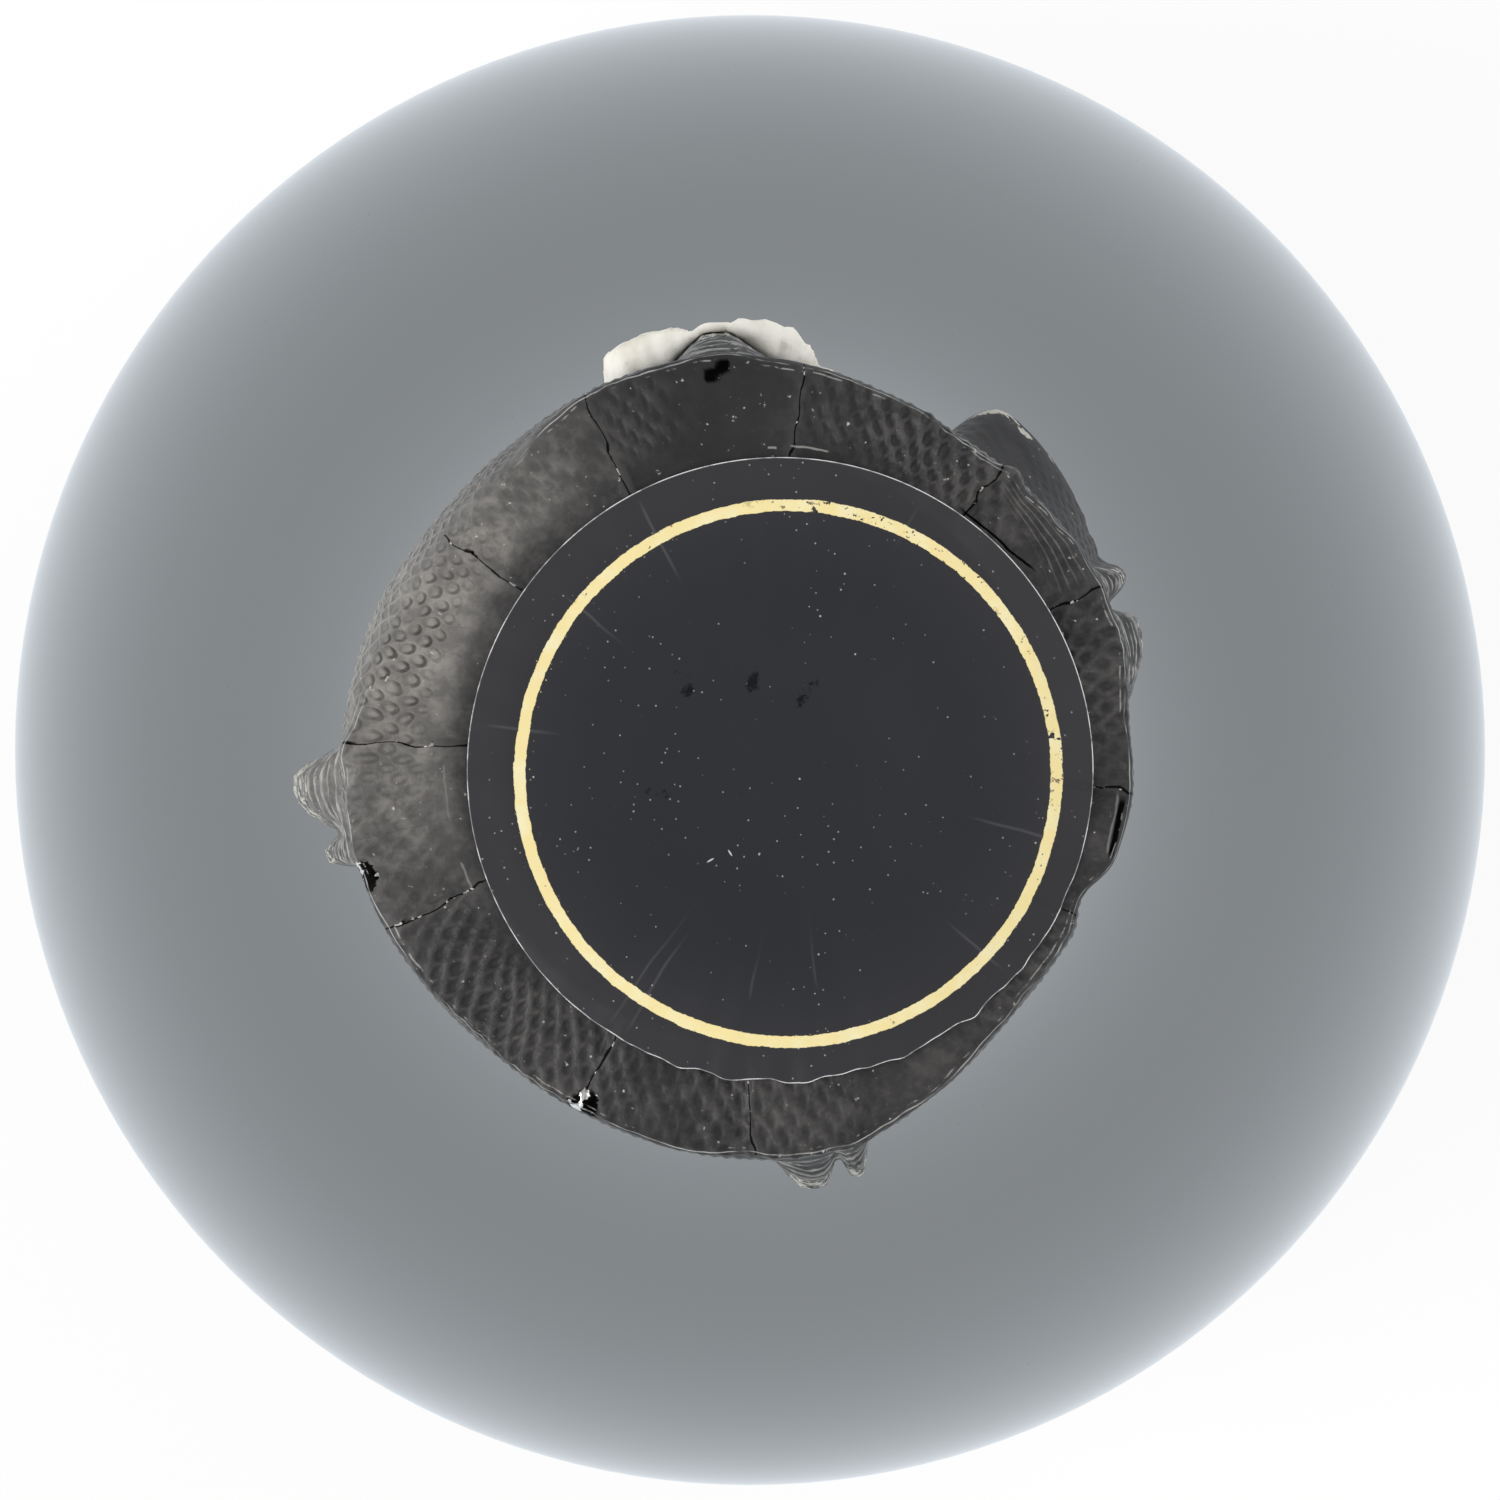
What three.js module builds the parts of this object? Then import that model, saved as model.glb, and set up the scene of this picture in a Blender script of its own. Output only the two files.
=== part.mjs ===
// A sealed bottle of sparkling wine: glass, wine, cork, wire muzzle and pleated foil capsule.
// Millimetres, +Z up. The origin is the middle of the ring that the bottle stands on.
import * as THREE from "three";

// Gap left between two pieces that touch on the real bottle, and the thinner one of a glued face.
const CLEARANCE = 0.3;
const GLUE_LINE = 0.15;

// Glass. Heights of the neck finish are measured down from the lip.
const GLASS_HEIGHT = 300;
const BODY_RADIUS = 44;
const BODY_WALL = 4.9;
const HEEL_HEIGHT = 7;
const STANDING_RADIUS = 35.5;
const STANDING_WIDTH = 2.6;
const PUNT_HEIGHT = 30;
const PUNT_FLARE = 0.8;
const PUNT_WALL = 7;
const FLOOR_CORNER_HEIGHT = 20;
const FLOOR_TUCK = 1.2;
const SHOULDER_LENGTH = 134;
const SHOULDER_EASE = 47;
const NECK_LENGTH = 48;
const NECK_RADIUS = 15.2;
const NECK_WALL = 4.9;
const GROOVE_RADIUS = 12.9;
const GROOVE_LENGTH = 7;
const BAND_RADIUS = 14.9;
const BAND_DEPTH = 14;
const BAND_HEIGHT = 8;
const WAIST_RADIUS = 13.1;
const LIP_RADIUS = 14.3;
const LIP_HEIGHT = 5.5;
const FINISH_ROUNDING = 1.4;
const BORE_RADIUS = 9;
const BORE_LENGTH = 26;
const FILL_DEPTH = 80;

// Cork: an agglomerated body with two natural discs glued to its wine end.
const CORK_INSERTION = 24;
const CORK_HEAD_RADIUS = 15.2;
const CORK_HEAD_HEIGHT = 20.5;
const CORK_DISC_THICKNESS = 5.5;
const CORK_CHAMFER = 0.8;
const CORK_FLARE = 2;

// Metal cap that the wire presses into the cork.
const CAP_SHEET = 0.4;
const CAP_PANEL_RADIUS = 10.6;
const CAP_GROOVE_RADIUS = 12.8;
const CAP_RADIUS = 14.6;
const CAP_STEP = 1.1;
const CAP_BEAD = 0.2;
const CAP_SKIRT = 2.6;

// Wire muzzle: one wire is twisted into the head ring and four legs, another is the belt and its loop.
const CAGE_WIRE = 0.95;
const BELT_WIRE = 1.25;
const STRAND_GAP = 0.45;
const LEG_ANGLES = [14, 97, 184, 279];
const LEG_PITCH = 5.6;
const LEG_RIM_LEAD = 0.5;
const LEG_BEND_DROPS = [0.65, 2.5];
const BELT_EYE_HALF_ANGLE = 22;
const BELT_TAIL_HALF_ANGLE = 14;
const LOOP_ANGLE = 45;
const LOOP_TURNS = 1.5;
const LOOP_PITCH = 5.6;
const LOOP_EYE_LENGTH = 9;
const LOOP_EYE_WIDTH = 7.6;
const LOOP_EYE_WRAP = 0.3;

// Foil capsule: a hood above the tear line, a skirt below it, and a disc glued over the folded top.
const FOIL = 0.3;
const CAPSULE_LENGTH = 85;
const HOOD_SHOULDER_DROP = 6;
const HOOD_HOLE_RADIUS = 9;
const HOOD_FLAT_DEPTH = 0.7;
const HOOD_FLAT_HALF_ANGLE = 45;
const HOOD_LEAN = 0.5;
const HOOD_LEAN_ANGLE = 225;
const FOLD_ANGLES = [25, 56, 84, 117, 145, 178, 200, 242, 292, 333];
const FOLD_STEP = 0.35;
const FOLD_EDGE_ANGLE = 0.8;
const TEAR_MARGIN = 1.5;
const RIDGE_HEIGHT = 2.6;
const RIDGE_HALF_ANGLE = 13;
const RIDGE_RISE = 26;
const LOOP_ROOM = 3.3;
const LOOP_BULGE_HALF_ANGLE = 20;
const LOOP_BULGE_RISE = 11;
const SKIRT_TAPER = 20;
const SKIRT_PLEAT = 0.9;
const DISC_RADIUS = 14.5;
const DISC_OFFSET_X = 1.4;
const DISC_OFFSET_Y = -0.95;

// Strip of cream paper stuck over the foil ridge at the back of the hood.
const PAPER = 0.3;
const PAPER_ANGLE = 95;
const PAPER_WIDTH = 11.5;
const PAPER_LENGTH = 32;
const PAPER_STAND_OFF = 0.7;
const PAPER_CREST = 1.2;

// Facets: segments round a turned piece, sides of a wire and steps in one turn of a twist.
const SEGMENTS = 36;
const WIRE_SIDES = 5;
const TWIST_STEPS = 6;
const WIRE_STEP = 1.3;
const RING_STEPS = 4;
const FOIL_FACET_ANGLE = 11;

// Places that follow from the sizes above
const NECK_Z = GLASS_HEIGHT - NECK_LENGTH;
const SHOULDER_Z = NECK_Z - SHOULDER_LENGTH;
const BAND_TOP_Z = GLASS_HEIGHT - BAND_DEPTH;
const BAND_BOTTOM_Z = BAND_TOP_Z - BAND_HEIGHT;
const GROOVE_BOTTOM_Z = BAND_BOTTOM_Z - GROOVE_LENGTH;
const FILL_Z = GLASS_HEIGHT - FILL_DEPTH;

const CORK_TOP_Z = GLASS_HEIGHT + CORK_HEAD_HEIGHT;
const CORK_BOTTOM_Z = GLASS_HEIGHT - CORK_INSERTION;
const STEM_RADIUS = BORE_RADIUS - CLEARANCE;

const CAP_PANEL_Z = CORK_TOP_Z + CLEARANCE + CAP_SHEET;
const CAP_GROOVE_Z = CAP_PANEL_Z - CAP_STEP;
const CAP_RIM_Z = CAP_GROOVE_Z - CAP_SKIRT;

const CAGE_STRAND = (CAGE_WIRE + STRAND_GAP) / 2;
const CAGE_PAIR = CAGE_STRAND + CAGE_WIRE / 2;
const BELT_STRAND = (BELT_WIRE + STRAND_GAP) / 2;
const BELT_PAIR = BELT_STRAND + BELT_WIRE / 2;
const HEAD_RING_Z = CAP_GROOVE_Z + CLEARANCE + CAGE_WIRE / 2;
const LEG_TOP_Z = HEAD_RING_Z + CAP_BEAD;
const LEG_RADIUS = Math.max(CORK_HEAD_RADIUS, BAND_RADIUS, LIP_RADIUS) + CLEARANCE + CAGE_PAIR;
const EYE_RADIUS = BELT_WIRE / 2 + CLEARANCE + CAGE_WIRE / 2;
const BELT_Z = BAND_BOTTOM_Z - CLEARANCE - EYE_RADIUS - CAGE_WIRE / 2;
const BELT_EYE_RADIUS = GROOVE_RADIUS + CLEARANCE + EYE_RADIUS + CAGE_WIRE / 2;
const BELT_HUG_RADIUS = GROOVE_RADIUS + CLEARANCE + BELT_WIRE / 2;
const TAIL_RADIUS = BAND_RADIUS + CLEARANCE + BELT_PAIR;

const HOOD_RADIUS = LEG_RADIUS + CAGE_PAIR + CLEARANCE;
const HOOD_UNDER_Z = LEG_TOP_Z + CAGE_WIRE / 2 + CLEARANCE;
const HOOD_TOP_Z = HOOD_UNDER_Z + FOIL + FOLD_STEP;
const HOOD_WALL_Z = HOOD_UNDER_Z - HOOD_SHOULDER_DROP;
const TEAR_Z = BELT_Z - EYE_RADIUS - CAGE_WIRE / 2 - TEAR_MARGIN;
const SKIRT_TOP_Z = TEAR_Z - CLEARANCE;
const SKIRT_BOTTOM_Z = HOOD_TOP_Z - CAPSULE_LENGTH;
const LOOP_TOP_Z = BELT_Z + BELT_WIRE + LOOP_TURNS * LOOP_PITCH + LOOP_EYE_LENGTH;
const LOOP_BULGE_RADIUS = TAIL_RADIUS + BELT_WIRE / 2 + LOOP_ROOM;

// Small tools for outlines and solids

const flat = (r, z) => new THREE.Vector2(r, z);
const radians = THREE.MathUtils.degToRad;
const degrees = THREE.MathUtils.radToDeg;

// One outline from several stretches, without the points that two of them share.
function joined(...stretches) {
  return stretches.flat().filter((p, i, all) => i === 0 || p.distanceTo(all[i - 1]) > 1e-6);
}

function bend(from, through, to, steps) {
  return new THREE.QuadraticBezierCurve(from, through, to).getPoints(steps);
}

function sweep(from, leave, arrive, to, steps) {
  return new THREE.CubicBezierCurve(from, leave, arrive, to).getPoints(steps);
}

// The outline moved sideways by a distance, square to itself, with its ends kept on the axis.
function inset(outline, distance) {
  return outline.map((p, i) => {
    const before = outline[Math.max(i - 1, 0)];
    const after = outline[Math.min(i + 1, outline.length - 1)];
    const along = after.clone().sub(before).normalize();
    return flat(p.x > 0 ? p.x - along.y * distance : 0, p.y + along.x * distance);
  });
}

// Radius of an outline at a height, for a stretch that only climbs.
function radiusAt(outline, z) {
  const top = outline.findIndex((p) => p.y >= z);
  const [a, b] = [outline[Math.max(top - 1, 0)], outline[Math.max(top, 1)]];
  return THREE.MathUtils.mapLinear(z, a.y, b.y, a.x, b.x);
}

// A solid turned round the bottle's axis, from an outline that runs up its outside.
function turned(outline) {
  return new THREE.LatheGeometry(outline, SEGMENTS).rotateX(Math.PI / 2);
}

// A point at an angle round the bottle's axis, in degrees, moved along the circle by a distance.
function around(angle, radius, z, sideways = 0) {
  const [c, s] = [Math.cos(radians(angle)), Math.sin(radians(angle))];
  return new THREE.Vector3(radius * c - sideways * s, radius * s + sideways * c, z);
}

function wire(points, diameter) {
  const path = new THREE.CatmullRomCurve3(points);
  const corners = Array.from({ length: WIRE_SIDES }, (_, i) => {
    const turn = (2 * Math.PI * i) / WIRE_SIDES;
    return flat((diameter / 2) * Math.cos(turn), (diameter / 2) * Math.sin(turn));
  });
  return new THREE.ExtrudeGeometry(new THREE.Shape(corners), {
    steps: Math.ceil(path.getLength() / WIRE_STEP),
    extrudePath: path,
    bevelEnabled: false,
  });
}

// A thin sheet as a closed solid: rows of points on its outer face and the same rows on its inner face.
// Rows that go all the way round are joined to themselves, and an open sheet gets two side edges.
function sheet(outerRows, innerRows, closed) {
  const [rows, columns] = [outerRows.length, outerRows[0].length];
  const positions = [...outerRows, ...innerRows].flat().flatMap((p) => p.toArray());
  const at = (face, row, column) => (face * rows + row) * columns + (column % columns);
  const triangles = [];
  const quad = (a, b, c, d) => triangles.push(a, b, c, a, c, d);
  const spans = closed ? columns : columns - 1;
  for (let column = 0; column < spans; column++) {
    for (let row = 0; row < rows - 1; row++) {
      quad(at(0, row, column), at(0, row + 1, column), at(0, row + 1, column + 1), at(0, row, column + 1));
      quad(at(1, row, column), at(1, row, column + 1), at(1, row + 1, column + 1), at(1, row + 1, column));
    }
    const last = rows - 1;
    quad(at(0, 0, column), at(0, 0, column + 1), at(1, 0, column + 1), at(1, 0, column));
    quad(at(0, last, column), at(1, last, column), at(1, last, column + 1), at(0, last, column + 1));
  }
  for (let row = 0; row < rows - 1 && !closed; row++) {
    const end = columns - 1;
    quad(at(0, row, 0), at(1, row, 0), at(1, row + 1, 0), at(0, row + 1, 0));
    quad(at(0, row, end), at(0, row + 1, end), at(1, row + 1, end), at(1, row, end));
  }
  const geometry = new THREE.BufferGeometry();
  geometry.setAttribute("position", new THREE.Float32BufferAttribute(positions, 3));
  geometry.setIndex(triangles);
  geometry.computeVertexNormals();
  return geometry;
}

// Glass bottle

// The punt from its tip to the inner edge of the ring that the bottle stands on.
function puntOutline() {
  const edge = STANDING_RADIUS - STANDING_WIDTH / 2;
  return sweep(
    flat(0, PUNT_HEIGHT),
    flat(edge / 3, PUNT_HEIGHT),
    flat(edge * PUNT_FLARE, PUNT_HEIGHT / 3),
    flat(edge, 0),
    6,
  );
}

function bottleOutside() {
  const slope = (NECK_RADIUS - GROOVE_RADIUS) / (GROOVE_BOTTOM_Z - NECK_Z);
  const edge = STANDING_RADIUS + STANDING_WIDTH / 2;
  const lipBottom = GLASS_HEIGHT - LIP_HEIGHT;
  const soft = FINISH_ROUNDING;
  const heel = bend(flat(edge, 0), flat(BODY_RADIUS, 0), flat(BODY_RADIUS, HEEL_HEIGHT), 4);
  const shoulder = sweep(
    flat(BODY_RADIUS, SHOULDER_Z),
    flat(BODY_RADIUS, SHOULDER_Z + SHOULDER_EASE),
    flat(NECK_RADIUS + slope * SHOULDER_EASE, NECK_Z - SHOULDER_EASE),
    flat(NECK_RADIUS, NECK_Z),
    11,
  );
  const groove = [
    flat(GROOVE_RADIUS, GROOVE_BOTTOM_Z),
    flat(GROOVE_RADIUS, BAND_BOTTOM_Z - soft / 2),
    flat(GROOVE_RADIUS + soft / 2, BAND_BOTTOM_Z),
  ];
  const band = [
    flat(BAND_RADIUS - soft / 2, BAND_BOTTOM_Z),
    flat(BAND_RADIUS, BAND_BOTTOM_Z + soft / 2),
    ...bend(
      flat(BAND_RADIUS, BAND_TOP_Z - soft),
      flat(BAND_RADIUS, BAND_TOP_Z),
      flat(WAIST_RADIUS, BAND_TOP_Z + soft),
      2,
    ),
  ];
  const lip = [
    ...bend(
      flat(WAIST_RADIUS, lipBottom - soft),
      flat(LIP_RADIUS, lipBottom),
      flat(LIP_RADIUS, lipBottom + soft),
      2,
    ),
    ...bend(
      flat(LIP_RADIUS, GLASS_HEIGHT - soft),
      flat(LIP_RADIUS, GLASS_HEIGHT),
      flat(LIP_RADIUS - 2 * soft, GLASS_HEIGHT),
      3,
    ),
  ];
  return joined(puntOutline(), heel, shoulder, groove, band, lip);
}

// Runs down the bore from the lip, round the corner of the floor and up over the punt to its middle.
function bottleInside() {
  const soft = FINISH_ROUNDING;
  const cavity = BODY_RADIUS - BODY_WALL;
  const neck = NECK_RADIUS - NECK_WALL;
  const slope = (neck - BORE_RADIUS) / (NECK_LENGTH - BORE_LENGTH);
  const mouth = bend(
    flat(BORE_RADIUS + soft, GLASS_HEIGHT),
    flat(BORE_RADIUS, GLASS_HEIGHT),
    flat(BORE_RADIUS, GLASS_HEIGHT - soft),
    2,
  );
  const shoulder = sweep(
    flat(neck, NECK_Z),
    flat(neck + slope * SHOULDER_EASE, NECK_Z - SHOULDER_EASE),
    flat(cavity, SHOULDER_Z + SHOULDER_EASE),
    flat(cavity, SHOULDER_Z),
    9,
  );
  const dome = inset(puntOutline(), PUNT_WALL).filter((p) => p.y > 2 * PUNT_WALL).reverse();
  const corner = bend(
    flat(cavity, FLOOR_CORNER_HEIGHT),
    flat(cavity - FLOOR_TUCK, PUNT_WALL / 2),
    dome[0],
    4,
  );
  return joined(mouth, [flat(BORE_RADIUS, GLASS_HEIGHT - BORE_LENGTH)], shoulder, corner, dome);
}

const OUTSIDE = bottleOutside();
const INSIDE = bottleInside();

function glassBottle() {
  return turned(joined(OUTSIDE, INSIDE));
}

function wineFill() {
  const surface = flat(radiusAt([...INSIDE].reverse(), FILL_Z), FILL_Z);
  const wetted = [surface, ...INSIDE.filter((p) => p.y < FILL_Z)];
  const liquid = inset(wetted, -CLEARANCE).reverse();
  const top = flat(liquid.at(-1).x, FILL_Z);
  return turned(joined(liquid.slice(0, -1), [top, flat(0, FILL_Z)]));
}

// Cork

function corkDisc(order) {
  const bottom = CORK_BOTTOM_Z + order * (CORK_DISC_THICKNESS + GLUE_LINE);
  const chamfer = order === 0 ? CORK_CHAMFER : 0;
  return turned(
    joined([
      flat(0, bottom),
      flat(STEM_RADIUS - chamfer, bottom),
      flat(STEM_RADIUS, bottom + chamfer),
      flat(STEM_RADIUS, bottom + CORK_DISC_THICKNESS),
      flat(0, bottom + CORK_DISC_THICKNESS),
    ]),
  );
}

function corkBody() {
  const bottom = CORK_BOTTOM_Z + 2 * (CORK_DISC_THICKNESS + GLUE_LINE);
  const seat = CAP_GROOVE_Z - CAP_SHEET - CLEARANCE;
  const underRim = CAP_RADIUS - CAP_SHEET - CLEARANCE;
  const shank = GLASS_HEIGHT + CLEARANCE;
  const bulge = (shank + CAP_RIM_Z) / 2;
  const underside = sweep(
    flat(STEM_RADIUS, shank),
    flat(STEM_RADIUS, shank + CORK_FLARE),
    flat(CORK_HEAD_RADIUS, shank + CORK_FLARE),
    flat(CORK_HEAD_RADIUS, bulge),
    6,
  );
  const shoulder = bend(
    flat(CORK_HEAD_RADIUS, bulge),
    flat(CORK_HEAD_RADIUS, CAP_RIM_Z - CLEARANCE),
    flat(underRim, CAP_RIM_Z - CLEARANCE),
    4,
  );
  const crown = [
    flat(underRim, seat - CAP_SHEET),
    flat(underRim - CAP_SHEET, seat),
    flat(CAP_GROOVE_RADIUS - CAP_STEP, seat),
    flat(CAP_PANEL_RADIUS - CAP_SHEET - CLEARANCE, CORK_TOP_Z),
    flat(0, CORK_TOP_Z),
  ];
  return turned(joined([flat(0, bottom), flat(STEM_RADIUS, bottom)], underside, shoulder, crown));
}

// Metal cap: a raised panel, a groove for the head ring, a bead and a skirt turned down over the cork.
function capPlate() {
  const step = CAP_STEP;
  const top = [
    flat(CAP_RADIUS, CAP_RIM_Z),
    flat(CAP_RADIUS, CAP_GROOVE_Z - 2 * CAP_BEAD),
    flat(CAP_RADIUS - CAP_BEAD, CAP_GROOVE_Z),
    flat(CAP_RADIUS - 3 * CAP_BEAD, CAP_GROOVE_Z + CAP_BEAD),
    flat(CAP_GROOVE_RADIUS + step / 2, CAP_GROOVE_Z),
    flat(CAP_GROOVE_RADIUS - step / 2, CAP_GROOVE_Z),
    flat(CAP_PANEL_RADIUS + step / 4, CAP_PANEL_Z - step / 4),
    flat(CAP_PANEL_RADIUS - step / 4, CAP_PANEL_Z),
    flat(0, CAP_PANEL_Z),
  ];
  const underside = [
    flat(0, CAP_PANEL_Z - CAP_SHEET),
    flat(CAP_PANEL_RADIUS - step / 4 - CAP_SHEET / 2, CAP_PANEL_Z - CAP_SHEET),
    flat(CAP_GROOVE_RADIUS - step / 2 - CAP_SHEET / 2, CAP_GROOVE_Z - CAP_SHEET),
    flat(CAP_RADIUS - 3 * CAP_BEAD, CAP_GROOVE_Z - CAP_SHEET),
    flat(CAP_RADIUS - CAP_SHEET, CAP_GROOVE_Z - 2 * CAP_SHEET),
    flat(CAP_RADIUS - CAP_SHEET, CAP_RIM_Z),
  ];
  return turned(joined(underside, top));
}

// Wire muzzle

// One leg's wire, down one strand, round the belt and up the other strand, as points.
function legPoints(angle) {
  const bottomZ = BELT_Z + EYE_RADIUS + CAGE_WIRE;
  const twistTopZ = HOOD_WALL_Z;
  const turns = Math.max(1, Math.round((twistTopZ - bottomZ) / LEG_PITCH));
  const steps = turns * TWIST_STEPS;
  const overRim = [
    [CAP_RADIUS - LEG_RIM_LEAD, LEG_TOP_Z],
    [(CAP_RADIUS + LEG_RADIUS) / 2, LEG_TOP_Z - LEG_BEND_DROPS[0]],
    [LEG_RADIUS - CAGE_WIRE / 4, LEG_TOP_Z - LEG_BEND_DROPS[1]],
  ];
  const strand = (side) => {
    const bent = overRim.map(([r, z]) => around(angle, r, z, -side * CAGE_STRAND));
    const twisted = Array.from({ length: steps + 1 }, (_, i) => {
      const phase = (2 * Math.PI * turns * i) / steps;
      const z = THREE.MathUtils.lerp(twistTopZ, bottomZ, i / steps);
      const r = LEG_RADIUS + side * CAGE_STRAND * Math.sin(phase);
      return around(angle, r, z, -side * CAGE_STRAND * Math.cos(phase));
    });
    return [...bent, ...twisted];
  };
  const wrapSteps = 6;
  const wrap = Array.from({ length: wrapSteps + 1 }, (_, i) => {
    const share = i / wrapSteps;
    const turn = -1.5 * Math.PI * share;
    const sideways = THREE.MathUtils.lerp(-CAGE_STRAND, CAGE_STRAND, share);
    const r = BELT_EYE_RADIUS + EYE_RADIUS * Math.cos(turn);
    return around(angle, r, BELT_Z + EYE_RADIUS * Math.sin(turn), sideways);
  });
  return [...strand(1), ...wrap, ...strand(-1).reverse()];
}

// Head ring and legs: one wire whose two ends meet in the head ring.
function cagePoints() {
  const leave = degrees((CAGE_STRAND + 2 * CAGE_WIRE) / CAP_GROOVE_RADIUS);
  const endGap = degrees((2 * CAGE_WIRE) / CAP_GROOVE_RADIUS);
  const arc = (from, to) =>
    Array.from({ length: RING_STEPS + 1 }, (_, i) =>
      around(THREE.MathUtils.lerp(from, to, i / RING_STEPS), CAP_GROOVE_RADIUS, HEAD_RING_Z),
    );
  return LEG_ANGLES.flatMap((angle, leg) => {
    const before = leg > 0 ? LEG_ANGLES[leg - 1] : LEG_ANGLES.at(-1) - 360;
    const after = leg + 1 < LEG_ANGLES.length ? LEG_ANGLES[leg + 1] : LEG_ANGLES[0] + 360;
    return [
      ...arc((before + angle + endGap) / 2, angle - leave),
      ...legPoints(angle),
      ...arc(angle + leave, (angle + after - endGap) / 2),
    ];
  });
}

// Least gap between two stretches of one wire that are more than a few diameters apart along it.
function leastGap(points, diameter) {
  const path = new THREE.CatmullRomCurve3(points);
  const spacing = diameter / 2;
  const along = path.getSpacedPoints(Math.ceil(path.getLength() / spacing));
  const skip = 8;
  let least = Infinity;
  along.forEach((p, i) => {
    for (let k = i + skip; k < along.length; k++) least = Math.min(least, p.distanceTo(along[k]));
  });
  return least - diameter;
}

function cageWire() {
  const points = cagePoints();
  console.log(`cage wire: least gap to itself ${leastGap(points, CAGE_WIRE).toFixed(2)} mm`);
  return wire(points, CAGE_WIRE);
}

// How far an angle lies from another, in degrees, the short way round.
function apart(a, b) {
  return Math.abs(THREE.MathUtils.euclideanModulo(a - b + 180, 360) - 180);
}

// A rounded rise from 0 to 1 about the middle of a span.
function ridge(distance, halfWidth) {
  return distance < halfWidth ? (1 + Math.cos((Math.PI * distance) / halfWidth)) / 2 : 0;
}

function nearLeg(angle) {
  return Math.min(...LEG_ANGLES.map((leg) => apart(angle, leg)));
}

// The belt hugs the groove, is held off it by each leg's eye and turns out into the twisted tail.
function beltWire() {
  const tailHalf = degrees(BELT_STRAND / TAIL_RADIUS);
  const end = TAIL_RADIUS - BELT_PAIR - CLEARANCE / 2;
  const steps = 72;
  const points = Array.from({ length: steps + 1 }, (_, i) => {
    const angle = THREE.MathUtils.lerp(LOOP_ANGLE + tailHalf, LOOP_ANGLE + 360 - tailHalf, i / steps);
    const eye = (BELT_EYE_RADIUS - BELT_HUG_RADIUS) * ridge(nearLeg(angle), BELT_EYE_HALF_ANGLE);
    const tail = Math.max(0, end - BELT_HUG_RADIUS) * ridge(apart(angle, LOOP_ANGLE), BELT_TAIL_HALF_ANGLE);
    return around(angle, BELT_HUG_RADIUS + Math.max(eye, tail), BELT_Z);
  });
  return wire(points, BELT_WIRE);
}

// The belt's tail: two strands twisted together that open into an eye, folded up against the neck.
function twistLoop() {
  const rootZ = BELT_Z + BELT_WIRE;
  const eyeZ = rootZ + LOOP_TURNS * LOOP_PITCH;
  const rootRadius = TAIL_RADIUS - BELT_PAIR + BELT_WIRE / 2 + CLEARANCE;
  const steps = Math.round(LOOP_TURNS * TWIST_STEPS);
  const strand = (side) => {
    const root = [around(LOOP_ANGLE, rootRadius, BELT_Z, side * BELT_STRAND)];
    const twisted = Array.from({ length: steps + 1 }, (_, i) => {
      const phase = (2 * Math.PI * LOOP_TURNS * i) / steps;
      const r = TAIL_RADIUS + side * BELT_STRAND * Math.sin(phase);
      const z = THREE.MathUtils.lerp(rootZ, eyeZ, i / steps);
      return around(LOOP_ANGLE, r, z, side * BELT_STRAND * Math.cos(phase));
    });
    return [...root, ...twisted];
  };
  const eyeSide = Math.cos(2 * Math.PI * LOOP_TURNS) > 0 ? 1 : -1;
  const eyeSteps = 8;
  const eye = Array.from({ length: eyeSteps + 1 }, (_, i) => {
    const turn = Math.PI * THREE.MathUtils.lerp(-LOOP_EYE_WRAP, 1 + LOOP_EYE_WRAP, i / eyeSteps);
    const sideways = (eyeSide * (LOOP_EYE_WIDTH - BELT_WIRE) * Math.cos(turn)) / 2;
    const half = (LOOP_EYE_LENGTH - BELT_WIRE) / 2;
    return around(LOOP_ANGLE, TAIL_RADIUS, eyeZ + half * (1 + Math.sin(turn)), sideways);
  });
  const points = [...strand(1), ...eye, ...strand(-1).reverse()];
  console.log(`twist loop: least gap to itself ${leastGap(points, BELT_WIRE).toFixed(2)} mm`);
  return wire(points, BELT_WIRE);
}

// Foil capsule

// Angles that follow the ridges, the bulge and the folds closely and the plain wall loosely.
function foilAngles() {
  const spread = (middle, half, steps) =>
    Array.from({ length: 2 * steps + 1 }, (_, i) => middle + half * (i / steps - 1));
  const marks = [
    ...LEG_ANGLES.flatMap((leg) => spread(leg, RIDGE_HALF_ANGLE, 3)),
    ...spread(LOOP_ANGLE, LOOP_BULGE_HALF_ANGLE, 4),
    ...FOLD_ANGLES.flatMap((fold) => [fold - FOLD_EDGE_ANGLE, fold]),
  ];
  const round = marks.map((a) => THREE.MathUtils.euclideanModulo(a, 360)).sort((a, b) => a - b);
  const apartEnough = round.filter((a, i) => i === 0 || a - round[i - 1] > FOLD_EDGE_ANGLE / 2);
  return apartEnough.flatMap((a, i) => {
    const next = i + 1 < apartEnough.length ? apartEnough[i + 1] : apartEnough[0] + 360;
    const pieces = Math.ceil((next - a) / FOIL_FACET_ANGLE);
    return Array.from({ length: pieces }, (_, k) => THREE.MathUtils.lerp(a, next, k / pieces));
  });
}

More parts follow.
